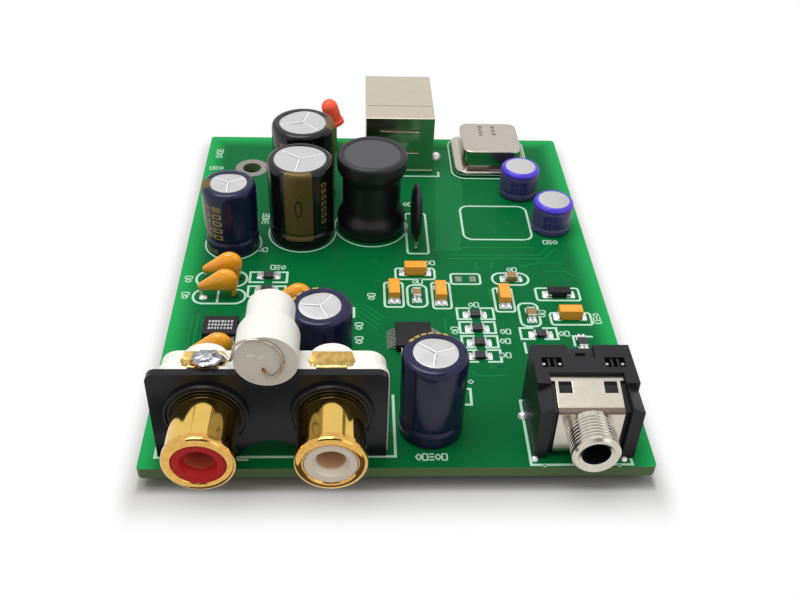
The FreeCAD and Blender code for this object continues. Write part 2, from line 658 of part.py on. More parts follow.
def jack_faceplate():
    """Folded sheet over the socket's front, with two windows, rear ears and a hole for the collar."""
    inner_top = SHEET_TOP - SHEET_THICK
    inner_front = SHEET_FRONT_Y + SHEET_THICK
    corner = SHEET_BEND * SHEET_BEND_SHARE
    section = [(SHEET_BACK_Y, SHEET_TOP), (SHEET_LEVEL_Y, SHEET_TOP),
               (SHEET_FRONT_Y + SHEET_BEND, SHEET_LOW_TOP),
               (SHEET_FRONT_Y + corner, SHEET_LOW_TOP - corner),
               (SHEET_FRONT_Y, SHEET_LOW_TOP - SHEET_BEND), (SHEET_FRONT_Y, SHEET_BOTTOM),
               (inner_front, SHEET_BOTTOM), (inner_front, sheet_height(inner_front) - SHEET_THICK),
               (SHEET_LEVEL_Y, inner_top), (SHEET_BACK_Y, inner_top)]
    sheet = prism_x(section, centred(JACK_X, SHEET_HALF_WIDTH))
    ears = box(centred(JACK_X, SHEET_EAR_HALF), (SHEET_BACK_Y - SHEET_EAR_DEPTH, SHEET_BACK_Y),
               (inner_top, SHEET_TOP))
    sheet = fused([sheet, ears])
    for side in (-WINDOW_OFFSET, WINDOW_OFFSET):
        sheet = sheet.cut(box(centred(JACK_X + side, WINDOW_HALF_WIDTH), (WINDOW_FRONT_Y, WINDOW_BACK_Y),
                              (JACK_AXIS_Z, SHEET_TOP)))
    return sheet.cut(rod_y(JACK_X, JACK_AXIS_Z, JACK_BORE_RADIUS, (SHEET_FRONT_Y, inner_front)))


def jack_collar():
    """Round nickel collar on the sheet, with a bevelled mouth."""
    mouth = COLLAR_FRONT_Y + JACK_MOUTH_DEPTH
    return turned_y([
        (JACK_BORE_RADIUS, mouth), (JACK_MOUTH_RADIUS, COLLAR_FRONT_Y),
        (COLLAR_RADIUS - COLLAR_EDGE, COLLAR_FRONT_Y), (COLLAR_RADIUS, COLLAR_FRONT_Y + COLLAR_EDGE),
        (COLLAR_RADIUS, SHEET_FRONT_Y), (JACK_BORE_RADIUS, SHEET_FRONT_Y)], JACK_X, JACK_AXIS_Z)


def usb_legs(gap):
    """The two shell legs, grown by a gap."""
    legs = []
    y = centred(USB_FRONT_Y + USB_LEG_FROM_FRONT, USB_LEG_HALF_WIDTH + gap)
    for side in (-1, 1):
        x = USB_X + side * (USB_HALF_WIDTH - USB_WALL / 2)
        legs.append(box(centred(x, USB_WALL / 2 + gap), y, (TAIL_TIP, USB_WALL)))
    return legs


def usb_shell():
    """Folded shell, open at the board's back edge, with seams in its closed end and two legs."""
    outside = box(centred(USB_X, USB_HALF_WIDTH), (USB_FRONT_Y, USB_BACK_Y), (0, USB_TOP))
    inside = box(centred(USB_X, USB_HALF_WIDTH - USB_WALL), (USB_FRONT_Y + USB_WALL, USB_BACK_Y),
                 (USB_WALL, USB_TOP - USB_WALL))
    shell = outside.cut(inside)
    for z in USB_SLIT_HEIGHTS:
        slit = box(centred(USB_X, USB_SLIT_HALF_WIDTH), (USB_FRONT_Y, USB_FRONT_Y + USB_WALL),
                   centred(z, USB_SLIT_HEIGHT / 2))
        shell = shell.cut(slit)
    floor_opening = box(centred(USB_X, 2 * USB_CONTACT_OFFSET),
                        (USB_FRONT_Y + USB_WALL, USB_FRONT_Y + USB_PIN_FROM_FRONT + 2 * USB_ROW_GAP),
                        (0, USB_WALL))
    return fused([shell.cut(floor_opening)] + usb_legs(0))


def usb_contacts():
    """Four bent strips: two above and two below the tongue, each with a pin through the board."""
    middle = USB_TOP / 2
    strips = []
    for row, level in ((0, middle - USB_TONGUE_HEIGHT / 2 - USB_CONTACT_THICK),
                       (1, middle + USB_TONGUE_HEIGHT / 2)):
        pin_y = USB_FRONT_Y + USB_PIN_FROM_FRONT + (1 - row) * USB_ROW_GAP
        for side in (-USB_CONTACT_OFFSET, USB_CONTACT_OFFSET):
            x = centred(USB_X + side, USB_CONTACT_HALF_WIDTH)
            end = USB_BACK_Y - USB_WALL - USB_CAVITY_DEPTH / 4
            flat = box(x, (pin_y, end), (level, level + USB_CONTACT_THICK))
            pin = box(x, (pin_y, pin_y + USB_CONTACT_THICK), (TAIL_TIP, level + USB_CONTACT_THICK))
            strips.append(fused([flat, pin]))
    return Part.makeCompound(strips)


def usb_insulator(contacts):
    """Plastic block in the shell with the plug's cavity and its tongue."""
    back = USB_BACK_Y - USB_WALL
    gap = USB_WALL + TOUCH_GAP
    block = box(centred(USB_X, USB_HALF_WIDTH - gap), (USB_FRONT_Y + gap, back),
                (USB_WALL, USB_TOP - gap))
    half = USB_CAVITY_HALF_WIDTH
    low = (USB_TOP - USB_CAVITY_HEIGHT) / 2
    high = low + USB_CAVITY_HEIGHT
    cavity = prism_y([
        (USB_X - half, low), (USB_X + half, low), (USB_X + half, high - USB_CAVITY_BEVEL),
        (USB_X + half - USB_CAVITY_BEVEL, high), (USB_X - half + USB_CAVITY_BEVEL, high),
        (USB_X - half, high - USB_CAVITY_BEVEL)], (back - USB_CAVITY_DEPTH, back))
    tongue = box(centred(USB_X, USB_TONGUE_HALF_WIDTH), (back - USB_CAVITY_DEPTH, back),
                 centred(USB_TOP / 2, USB_TONGUE_HEIGHT / 2))
    return fused([block.cut(cavity), tongue]).cut(contacts)


def clock_pin_places():
    """The oscillator's four pins."""
    return [(CLOCK_X + dx, CLOCK_Y + dy)
            for dx in (-CLOCK_PIN_OFFSET, CLOCK_PIN_OFFSET)
            for dy in (-CLOCK_PIN_OFFSET, CLOCK_PIN_OFFSET)]


def clock_base():
    """Base plate whose rim shows around the can."""
    top = CLOCK_BASE_BOTTOM + CLOCK_BASE_THICK
    plate = box(centred(CLOCK_X, CLOCK_BASE_HALF), centred(CLOCK_Y, CLOCK_BASE_HALF),
                (CLOCK_BASE_BOTTOM, top))
    return plate.makeChamfer(CLOCK_BASE_CORNER, edges_along(plate, Vec(0, 0, 1)))


def clock_can():
    """Drawn can on the base plate."""
    bottom = CLOCK_BASE_BOTTOM + CLOCK_BASE_THICK
    can = box(centred(CLOCK_X, CLOCK_CAN_HALF), centred(CLOCK_Y, CLOCK_CAN_HALF),
              (bottom, bottom + CLOCK_CAN_HEIGHT))
    return round_upright(can, CLOCK_CAN_CORNER)


def clock_pins():
    """Pins from the base plate down through the board."""
    return Part.makeCompound([lead(place, (TAIL_TIP, CLOCK_BASE_BOTTOM)) for place in clock_pin_places()])


def lamp_body():
    """Lens with a flange, leaning about its base."""
    dome = LAMP_STRAIGHT + LAMP_FLANGE_HEIGHT
    profile = [(LAMP_FLANGE_RADIUS, 0), (LAMP_FLANGE_RADIUS, LAMP_FLANGE_HEIGHT),
               (LAMP_RADIUS, LAMP_FLANGE_HEIGHT)]
    for degrees in (0, 50):
        angle = math.radians(degrees)
        profile.append((LAMP_RADIUS * math.cos(angle), dome + LAMP_RADIUS * math.sin(angle)))
    profile += [(0, dome + LAMP_RADIUS), (0, 0)]
    body = turned_z(profile, 0, 0)
    body.rotate(Vec(0, 0, 0), Vec(0, 1, 0), -LAMP_LEAN)
    body.translate(Vec(LAMP_X, LAMP_Y, LAMP_BASE_Z))
    return body


def lamp_lead_places():
    """The lamp's two leads, one behind the other."""
    return [(LAMP_X, LAMP_Y + side * LAMP_PITCH / 2) for side in (-1, 1)]


def lamp_leads(body):
    """Square leads that run straight up to the lens."""
    top = LAMP_BASE_Z + LAMP_FLANGE_HEIGHT / 2
    return Part.makeCompound([lead(place, (TAIL_TIP, top)).cut(body) for place in lamp_lead_places()])


def capacitor(place):
    """Sealed can in its sleeve, with a sloping shoulder on the tall ones."""
    x, y, height, radius, _ = place
    if height < CAN_TALL:
        return rod_z(x, y, radius, (CAN_STANDOFF, height))
    return turned_z([
        (0, CAN_STANDOFF), (radius, CAN_STANDOFF), (radius, height - CAN_SHOULDER),
        (radius - CAN_SHOULDER, height), (0, height)], x, y)


def capacitor_lead_places():
    """Both leads of every capacitor."""
    places = []
    for x, y, _, _, pitch in CAPACITORS.values():
        places += [(x - pitch / 2, y), (x + pitch / 2, y)]
    return places


def choke_body():
    """Drum in its shrunk sleeve, drawn in at the waist."""
    waist_low = CAN_STANDOFF + CHOKE_FLANGE + CHOKE_SLOPE
    waist_high = CHOKE_HEIGHT - CHOKE_FLANGE - CHOKE_SLOPE
    return turned_z([
        (0, CAN_STANDOFF), (CHOKE_RADIUS, CAN_STANDOFF), (CHOKE_RADIUS, waist_low - CHOKE_SLOPE),
        (CHOKE_WAIST_RADIUS, waist_low), (CHOKE_WAIST_RADIUS, waist_high),
        (CHOKE_RADIUS, waist_high + CHOKE_SLOPE), (CHOKE_RADIUS, CHOKE_HEIGHT), (0, CHOKE_HEIGHT)],
        CHOKE_X, CHOKE_Y)


def choke_lead_places():
    """The choke's two leads."""
    return [(CHOKE_X + side * CHOKE_PITCH / 2, CHOKE_Y) for side in (-1, 1)]


def fuse_body():
    """Flat disc on its edge."""
    centre = Vec(FUSE_X - FUSE_THICK / 2, FUSE_Y, FUSE_BOTTOM + FUSE_RADIUS)
    return Part.makeCylinder(FUSE_RADIUS, FUSE_THICK, centre, Vec(1, 0, 0))


def fuse_lead_places():
    """The fuse's two leads, one behind the other."""
    return [(FUSE_X, FUSE_Y + side * FUSE_PITCH / 2) for side in (-1, 1)]


def fuse_leads(body):
    """Leads from the disc's lower edge."""
    top = FUSE_BOTTOM + FUSE_RADIUS / 2
    return Part.makeCompound([lead(place, (TAIL_TIP, top)).cut(body) for place in fuse_lead_places()])


def dipped_capacitor(place):
    """Drop-shaped body that stands across the board, with bevelled rims."""
    x, y = place
    along = Vec(DROP_BULB_X - DROP_TAIL_X, 0, DROP_BULB_Z - DROP_TAIL_Z)
    lean = math.atan2(along.z, along.x)
    flare = math.asin((DROP_BULB_RADIUS - DROP_TAIL_RADIUS) / along.Length)

    def bend(side, z, radius, start, sweep, steps):
        angles = [start + sweep * i / steps for i in range(steps + 1)]
        return [(x + side + radius * math.cos(a), z + radius * math.sin(a)) for a in angles]

    down = lean - math.pi / 2 - flare
    bulb_sweep = math.pi + 2 * flare
    outline = bend(DROP_BULB_X, DROP_BULB_Z, DROP_BULB_RADIUS, down, bulb_sweep, DROP_BULB_STEPS)
    outline += bend(DROP_TAIL_X, DROP_TAIL_Z, DROP_TAIL_RADIUS, down + bulb_sweep,
                    math.tau - bulb_sweep, DROP_TAIL_STEPS)
    limits = centred(y, DROP_THICK / 2)
    body = prism_y(outline, limits)
    rims = [e for e in body.Edges if e.BoundBox.YLength < DROP_THICK / 2]
    return body.makeChamfer(DROP_EDGE, rims)


def dipped_lead_places():
    """Both leads of every dipped capacitor."""
    return [(x + side * DROP_PITCH / 2, y) for x, y in DROP_PLACES.values() for side in (-1, 1)]


def dipped_leads(bodies):
    """Leads that end inside the dip of their capacitor."""
    return Part.makeCompound([lead(place, (TAIL_TIP, DROP_TAIL_Z)).cut(bodies)
                              for place in dipped_lead_places()])


def chip(place, size):
    """Body and two metal ends of a chip part, the ends let into the body where they are lower."""
    x, y, along = place
    half_length, half_width, height, end, end_height = size
    inner = half_length - end

    def block(limits, top):
        across = (-half_width, half_width)
        x_limits, y_limits = (limits, across) if along == "x" else (across, limits)
        return box((x + x_limits[0], x + x_limits[1]), (y + y_limits[0], y + y_limits[1]), (0, top))

    ends = [block((-half_length, -inner), end_height), block((inner, half_length), end_height)]
    return block((-half_length, half_length), height).cut(ends), ends


def chip_row(places, size):
    """Bodies and ends of equal chip parts."""
    pairs = [chip(place, size) for place in places]
    return [pair[0] for pair in pairs], [end for pair in pairs for end in pair[1]]


def chip_body(place, half, top):
    """Moulded body of a chip."""
    return box(centred(place[0], half[0]), centred(place[1], half[1]), (CHIP_BOTTOM, top))


def chip_side_leads(place, half, top, pitch, count, width, turn):
    """Leads along one side of a chip, sloping down to the board; turn is in quarter turns."""
    leads = []
    level = (CHIP_BOTTOM + top) / 2
    reach = half[1] if turn % 2 == 0 else half[0]
    profile = [(-reach, level), (-reach, level + CHIP_LEAD_THICK),
               (-reach - CHIP_LEAD_REACH, CHIP_LEAD_THICK), (-reach - CHIP_LEAD_REACH, 0)]
    for step in range(count):
        middle = (step - (count - 1) / 2) * pitch
        lead = prism_x(profile, centred(middle, width / 2))
        lead.rotate(Vec(0, 0, 0), Vec(0, 0, 1), 90 * turn)
        lead.translate(Vec(place[0], place[1], 0))
        leads.append(lead)
    return leads


def chip_leads():
    """Leads of both chips."""
    leads = []
    for turn in (0, 2):
        leads += chip_side_leads(AMPLIFIER_PLACE, AMPLIFIER_HALF, AMPLIFIER_TOP, AMPLIFIER_PITCH,
                                 AMPLIFIER_LEAD_COUNT, AMPLIFIER_LEAD_WIDTH, turn)
    for turn in range(4):
        leads += chip_side_leads(CONVERTER_PLACE, CONVERTER_HALF, CONVERTER_TOP, CONVERTER_PITCH,
                                 CONVERTER_LEAD_COUNT, CONVERTER_LEAD_WIDTH, turn)
    return Part.makeCompound(leads)


def board_holes():
    """Everything that is drilled or slotted in the board."""
    depth = (-BOARD_THICK, 0)
    holes = []
    for places in (capacitor_lead_places(), choke_lead_places(), fuse_lead_places(),
                   dipped_lead_places(), clock_pin_places(), lamp_lead_places()):
        holes += [lead(place, depth, HOLE_GAP) for place in places]
    for x in PHONO_AXES:
        tab = (PLATE_BACK_Y - HOLE_GAP, TAB_BACK_Y + HOLE_GAP)
        strip = (BULGE_BACK_Y - HOLE_GAP, BULGE_BACK_Y + TAB_THICK + HOLE_GAP)
        holes.append(box(centred(x, TAB_PIN_HALF + HOLE_GAP), tab, depth))
        holes.append(box(centred(x, CONTACT_STRIP_HALF + HOLE_GAP), strip, depth))
    for x, y in jack_slots(HOLE_GAP):
        holes.append(box(x, y, depth))
    for row in (0, 1):
        pin_y = USB_FRONT_Y + USB_PIN_FROM_FRONT + row * USB_ROW_GAP
        for side in (-USB_CONTACT_OFFSET, USB_CONTACT_OFFSET):
            holes.append(box(centred(USB_X + side, USB_CONTACT_HALF_WIDTH + HOLE_GAP),
                             (pin_y - HOLE_GAP, pin_y + USB_CONTACT_THICK + HOLE_GAP), depth))
    holes += usb_legs(HOLE_GAP)
    holes.append(rod_z(MOUNT_HOLE_X, BOARD_DEPTH - MOUNT_HOLE_FROM_BACK, MOUNT_HOLE_RADIUS, depth))
    return holes


def circuit_board():
    """Board with its corners taken off and all its holes."""
    blank = box((0, BOARD_WIDTH), (0, BOARD_DEPTH), (-BOARD_THICK, 0))
    return blank.makeChamfer(BOARD_CORNER, edges_along(blank, Vec(0, 0, 1))).cut(board_holes())


def straight_leads(places):
    """Straight leads from the underside of a can to the trimmed tail."""
    return Part.makeCompound([lead(place, (TAIL_TIP, CAN_STANDOFF)) for place in places])


def phono_nodes():
    """Pieces of the twin phono socket block."""
    nodes = {"phono_faceplate": phono_faceplate(), "phono_housing": phono_housing()}
    for side, x in zip(("left", "right"), PHONO_AXES):
        nodes["phono_shell_" + side] = phono_shell(x)
        nodes["phono_insert_" + side] = phono_insert(x)
        nodes["phono_contact_" + side] = phono_contact(x)
        nodes["phono_ground_tab_" + side] = phono_ground_tab(x)
    nodes["ground_wire"] = ground_wire()
    nodes["ground_solder"] = ground_solder(nodes["ground_wire"])
    return nodes


def socket_nodes():
    """Pieces of the headphone socket and the USB socket."""
    contacts = usb_contacts()
    return {
        "jack_housing": jack_housing(), "jack_faceplate": jack_faceplate(),
        "jack_collar": jack_collar(), "jack_contacts": jack_contacts(),
        "usb_shell": usb_shell(), "usb_insulator": usb_insulator(contacts), "usb_contacts": contacts,
    }


def leaded_nodes():
    """Oscillator, lamp, capacitors, choke and fuse."""
    nodes = {"clock_base": clock_base(), "clock_can": clock_can(), "clock_pins": clock_pins(),
             "lamp_body": lamp_body()}
    nodes["lamp_leads"] = lamp_leads(nodes["lamp_body"])
    for name, place in CAPACITORS.items():
        nodes[name] = capacitor(place)
    nodes["capacitor_leads"] = straight_leads(capacitor_lead_places())
    nodes["choke_body"] = choke_body()
    nodes["choke_leads"] = straight_leads(choke_lead_places())
    nodes["fuse_body"] = fuse_body()
    nodes["fuse_leads"] = fuse_leads(nodes["fuse_body"])
    for name, place in DROP_PLACES.items():
        nodes[name] = dipped_capacitor(place)
    nodes["dipped_capacitor_leads"] = dipped_leads([nodes[name] for name in DROP_PLACES])
    return nodes


def chip_nodes():
    """Chip parts and the two chips."""
    tantalum, tantalum_ends = chip_row(TANTALUM_PLACES, TANTALUM_SIZE)
    ceramic, ceramic_ends = chip_row(CERAMIC_PLACES, CERAMIC_SIZE)
    resistor, resistor_ends = chip_row(RESISTOR_PLACES, RESISTOR_SIZE)
    diode, diode_ends = chip(DIODE_PLACE, DIODE_SIZE)
    return {
        "tantalum_blocks": Part.makeCompound(tantalum),
        "ceramic_chips": Part.makeCompound(ceramic),
        "resistor_chips": Part.makeCompound(resistor),
        "diode_body": diode,
        "chip_ends": Part.makeCompound(tantalum_ends + ceramic_ends + resistor_ends + diode_ends),
        "amplifier_chip": chip_body(AMPLIFIER_PLACE, AMPLIFIER_HALF, AMPLIFIER_TOP),
        "converter_chip": chip_body(CONVERTER_PLACE, CONVERTER_HALF, CONVERTER_TOP),
        "chip_leads": chip_leads(),
    }


def main():
    """Build every piece, move it to the shared frame and write it."""
    nodes = {"circuit_board": circuit_board()}
    nodes.update(phono_nodes())
    nodes.update(socket_nodes())
    nodes.update(leaded_nodes())
    nodes.update(chip_nodes())
    middle_y = (BARREL_FRONT_Y + USB_BACK_Y) / 2
    shift = Vec(-BOARD_WIDTH / 2, -middle_y, -TAIL_TIP)
    os.makedirs("parts", exist_ok=True)
    for name, shape in nodes.items():
        shape.translate(shift)
        shape.exportStep("parts/" + name + ".step")


main()
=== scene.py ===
"""Looks of a bare USB audio converter board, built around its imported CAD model. Units are metres."""

import bmesh
import bpy
import json
import math
import random
from mathutils import Matrix, Vector


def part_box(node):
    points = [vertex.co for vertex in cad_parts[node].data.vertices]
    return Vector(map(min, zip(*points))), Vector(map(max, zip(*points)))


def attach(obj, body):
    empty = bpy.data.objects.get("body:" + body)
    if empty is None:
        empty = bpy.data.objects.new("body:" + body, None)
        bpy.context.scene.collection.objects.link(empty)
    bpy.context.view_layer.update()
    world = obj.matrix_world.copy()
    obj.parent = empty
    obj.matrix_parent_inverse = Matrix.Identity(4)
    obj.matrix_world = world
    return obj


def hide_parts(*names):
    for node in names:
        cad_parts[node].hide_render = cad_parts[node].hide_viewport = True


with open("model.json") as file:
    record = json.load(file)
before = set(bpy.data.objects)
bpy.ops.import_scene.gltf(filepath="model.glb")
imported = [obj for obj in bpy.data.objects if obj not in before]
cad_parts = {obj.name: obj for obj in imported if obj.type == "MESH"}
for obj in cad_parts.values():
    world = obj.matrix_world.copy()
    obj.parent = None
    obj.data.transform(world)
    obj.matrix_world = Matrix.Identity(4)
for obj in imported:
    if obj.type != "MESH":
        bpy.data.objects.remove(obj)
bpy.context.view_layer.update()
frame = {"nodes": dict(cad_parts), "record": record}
random.seed(7)

MM = 0.001
BOARD_LOW, BOARD_HIGH = (Vector(corner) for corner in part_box("circuit_board"))
BOARD_MIDDLE = (BOARD_LOW + BOARD_HIGH) / 2
BOARD_HALF = (BOARD_HIGH - BOARD_LOW) / 2
CORNER = Vector((BOARD_LOW.x, BOARD_LOW.y, BOARD_HIGH.z))
SLOT_OF = {entry["node"]: entry["material_slot"] for entry in frame["record"]["subparts"]}
WELD = 0.001 * MM

# Camera, solved from the photograph: place in mm from the board's front left top corner, angles in degrees
CAMERA_PLACE = (26.364, -79.736, 91.607)
CAMERA_YAW = 3.727
CAMERA_PITCH = 38.985
CAMERA_ROLL = 2.551
FOCAL_PIXELS = 962.1
PICTURE = (800, 600)
SENSOR = 36.0
CLIP_START = 0.005


# Places and colours


def at(x, y, z=0.0):
    """Point from places in mm on the board."""
    return CORNER + Vector((x, y, z)) * MM


def on_board(point):
    """Places in mm on the board of a point."""
    return (Vector(point) - CORNER) / MM


def box_mm(node):
    """Lowest and highest corner of a node, in mm on the board."""
    low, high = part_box(node)
    return on_board(low), on_board(high)


def middle_mm(node):
    """Middle of a node, in mm on the board."""
    low, high = box_mm(node)
    return (low + high) / 2


def linear(red, green, blue):
    """Screen colour, 0 to 255, as a linear one."""
    def channel(value):
        value = value / 255
        return value / 12.92 if value <= 0.04045 else ((value + 0.055) / 1.055) ** 2.4
    return (channel(red), channel(green), channel(blue), 1.0)


def shade(colour, factor):
    """Colour made lighter or darker."""
    return tuple(min(1.0, part * factor) for part in colour[:3]) + (1.0,)


# Shader nodes


def feed(tree, socket, value):
    """Give a node's input a plain value or the output of another node."""
    if isinstance(value, bpy.types.NodeSocket):
        tree.links.new(value, socket)
    else:
        socket.default_value = value


def add_node(tree, kind, inputs=(), **settings):
    """Shader node with its settings, and its inputs by name or number."""
    node = tree.nodes.new("ShaderNode" + kind)
    for name, value in settings.items():
        setattr(node, name, value)
    for key, value in dict(inputs).items():
        feed(tree, node.inputs[key], value)
    return node


def math_node(tree, operation, *values):
    """Output of a sum whose values are outputs or plain numbers."""
    return add_node(tree, "Math", enumerate(values), operation=operation).outputs["Value"]


def ramp(tree, value, start, end, low=0.0, high=1.0, style="LINEAR"):
    """Output that goes from low to high while a value goes from start to end."""
    inputs = {"Value": value, "From Min": start, "From Max": end, "To Min": low, "To Max": high}
    return add_node(tree, "MapRange", inputs, interpolation_type=style).outputs["Result"]


def blend(tree, share, first, second):
    """Colour between two others."""
    inputs = {"Factor": share, "A": first, "B": second}
    return add_node(tree, "Mix", inputs, data_type="RGBA").outputs["Result"]


def split(tree, vector):
    """Three parts of a vector, by the names of the axes."""
    return add_node(tree, "SeparateXYZ", {"Vector": vector}).outputs


def new_material(name):
    """Material with nodes, and its node tree."""
    material = bpy.data.materials.new(name)
    material.use_nodes = True
    return material, material.node_tree


# Materials: detail of the noise, and shares of a roughness that it moves between
NOISE_DETAIL = 4.0
ROUGH_SHARES = (0.8, 1.2)
RELIEF_DEPTH = 0.1 * MM
COAT_ROUGHNESS = 0.08
GLOW_RADIUS = (0.8 * MM, 0.7 * MM, 0.6 * MM)

# Board: its mask, the paler rim and its width in mm, and the two tones and the weave of its cut edge
BOARD_LOOK = ((0, 95, 48), 0.45, 0.1, 220.0, 0.03)
BOARD_SPECULAR = 0.07
FLAT_FACING = 0.5
RIM_GREEN = (26, 150, 76)
RIM_WIDTH = 4.0
EDGE_TONES = ((74, 100, 68), (112, 134, 94))
EDGE_WEAVE = {"Scale": 900.0, "Distortion": 3.0}


def surface(name, colour, roughness, spread, grain, bump, metallic=0.0, specular=0.4, coat=0.0,
            subsurface=0.0, worn=None, patch=0.5):
    """Material whose colour, roughness and relief follow a noise, in sharper patches for a smaller patch."""
    material, tree = new_material(name)
    place = add_node(tree, "TexCoord").outputs["Object"]
    inputs = {"Scale": grain, "Detail": NOISE_DETAIL, "Vector": place}
    noise = add_node(tree, "TexNoise", inputs).outputs["Fac"]
    base = linear(*colour)
    dark = linear(*worn) if worn else shade(base, 1 - spread)
    smoother, rougher = (min(1.0, roughness * share) for share in ROUGH_SHARES)
    relief = add_node(tree, "Bump", {"Strength": bump, "Distance": RELIEF_DEPTH, "Height": noise})
    settings = {
        "Base Color": blend(tree, ramp(tree, noise, 0.5 - patch, 0.5 + patch), dark, shade(base, 1 + spread)),
        "Roughness": ramp(tree, noise, 0.0, 1.0, smoother, rougher),
        "Normal": relief.outputs["Normal"],
        "Metallic": metallic,
        "Specular IOR Level": specular,
        "Coat Weight": coat,
        "Coat Roughness": COAT_ROUGHNESS,
        "Subsurface Weight": subsurface,
        "Subsurface Radius": GLOW_RADIUS,
    }
    for key, value in settings.items():
        feed(tree, tree.nodes["Principled BSDF"].inputs[key], value)
    return material


def paler_rim(tree, masked):
    """Colour of the mask, paler towards the left, right and back edges of the board."""
    place = split(tree, add_node(tree, "TexCoord").outputs["Object"])
    across = math_node(tree, "ABSOLUTE", math_node(tree, "SUBTRACT", place["X"], BOARD_MIDDLE.x))
    beside = math_node(tree, "SUBTRACT", across, BOARD_HALF.x)
    behind = math_node(tree, "SUBTRACT", place["Y"], BOARD_HIGH.y)
    nearest = math_node(tree, "MAXIMUM", beside, behind)
    share = ramp(tree, nearest, -RIM_WIDTH * MM, 0.0, style="SMOOTHSTEP")
    return blend(tree, share, masked, linear(*RIM_GREEN))


def board_surface():
    """Green solder mask on both faces, bare glass fibre on the cut edges."""
    material = surface("board_green", *BOARD_LOOK, specular=BOARD_SPECULAR)
    tree = material.node_tree
    colour = tree.nodes["Principled BSDF"].inputs["Base Color"]
    masked = paler_rim(tree, colour.links[0].from_socket)
    facing = split(tree, add_node(tree, "NewGeometry").outputs["True Normal"])
    flat = math_node(tree, "GREATER_THAN", math_node(tree, "ABSOLUTE", facing["Z"]), FLAT_FACING)
    weave = add_node(tree, "TexWave", EDGE_WEAVE, wave_type="BANDS", bands_direction="Z")
    edge = blend(tree, weave.outputs["Fac"], *(linear(*tone) for tone in EDGE_TONES))
    feed(tree, colour, blend(tree, flat, edge, masked))
    return material


# Looks of each material: colour, roughness, spread of the colour, grain, relief, and what else it has
PLAIN_LOOKS = {
    "trace_green": ((4, 112, 56), 0.45, 0.08, 300.0, 0.02, {"specular": 0.1}),
    "pour_green": ((4, 105, 54), 0.45, 0.08, 300.0, 0.02, {"specular": 0.1}),
    "ink": ((172, 204, 186), 0.6, 0.1, 4000.0, 0.1, {"specular": 0.2}),
    "plate_black": ((23, 23, 28), 0.26, 0.12, 900.0, 0.02, {"specular": 0.22}),
    "nylon_white": ((224, 222, 216), 0.4, 0.03, 500.0, 0.03, {"specular": 0.25, "subsurface": 0.25}),
    "insert_red": ((196, 30, 34), 0.4, 0.06, 900.0, 0.02, {"specular": 0.15}),
    "insert_white": ((240, 230, 214), 0.4, 0.03, 900.0, 0.02, {"specular": 0.2}),
    "red_lining": ((206, 96, 72), 0.5, 0.1, 900.0, 0.05),
    "white_lining": ((226, 186, 146), 0.5, 0.1, 900.0, 0.05),
    "bright_solder": ((240, 241, 242), 0.3, 0.06, 1800.0, 0.1, {"metallic": 0.6}),
    "jack_black": ((26, 25, 28), 0.42, 0.12, 1800.0, 0.06, {"specular": 0.25}),
    "usb_plastic": ((64, 52, 46), 0.45, 0.06, 900.0, 0.03),
    "slit_brown": ((128, 100, 76), 0.5, 0.12, 900.0, 0.03),
    "lamp_red": ((255, 96, 70), 0.25, 0.05, 600.0, 0.01, {"specular": 0.2, "subsurface": 0.1}),
    "sleeve_navy": ((24, 25, 58), 0.2, 0.14, 700.0, 0.03, {"specular": 0.3}),
    "sleeve_black": ((18, 17, 18), 0.18, 0.15, 700.0, 0.03, {"specular": 0.35}),
    "sleeve_violet": ((76, 54, 206), 0.3, 0.1, 700.0, 0.02),
    "violet_side": ((70, 64, 108), 0.32, 0.16, 700.0, 0.03),
    "violet_print": ((40, 26, 104), 0.4, 0.15, 1500.0, 0.05),
    # White of the painted highlight on the vent scores, also used for the flecks on the post
    "white_highlight_and_fleck": ((240, 240, 240), 0.35, 0.03, 2600.0, 0.05),
    "dash_gold": ((190, 154, 74), 0.4, 0.14, 1500.0, 0.05, {"metallic": 0.3}),
    "gold_print": ((98, 82, 42), 0.45, 0.14, 1500.0, 0.03, {"metallic": 0.35}),
    "mark_gold": ((142, 116, 58), 0.45, 0.14, 1500.0, 0.05, {"metallic": 0.35}),
    "choke_black": ((20, 20, 23), 0.4, 0.2, 500.0, 0.12),
    "ferrite_grey": ((64, 63, 68), 0.45, 0.12, 900.0, 0.1),
    "fuse_black": ((18, 18, 20), 0.38, 0.15, 900.0, 0.1, {"specular": 0.25}),
    "orange_dip": ((236, 156, 30), 0.14, 0.08, 400.0, 0.04, {"coat": 0.3}),
    "tantalum_orange": ((226, 154, 46), 0.36, 0.1, 1500.0, 0.05),
    "ceramic_brown": ((146, 114, 68), 0.5, 0.12, 1500.0, 0.08),
    "resistor_black": ((46, 46, 50), 0.35, 0.15, 1500.0, 0.05),
    "chip_black": ((24, 22, 23), 0.5, 0.15, 2500.0, 0.12, {"specular": 0.25}),
    "chip_print": ((172, 174, 178), 0.6, 0.1, 2500.0, 0.05),
    "dark_print": ((112, 106, 98), 0.6, 0.1, 2500.0, 0.05),
    "dark_hole": ((10, 46, 28), 0.6, 0.2, 2500.0, 0.05),
}
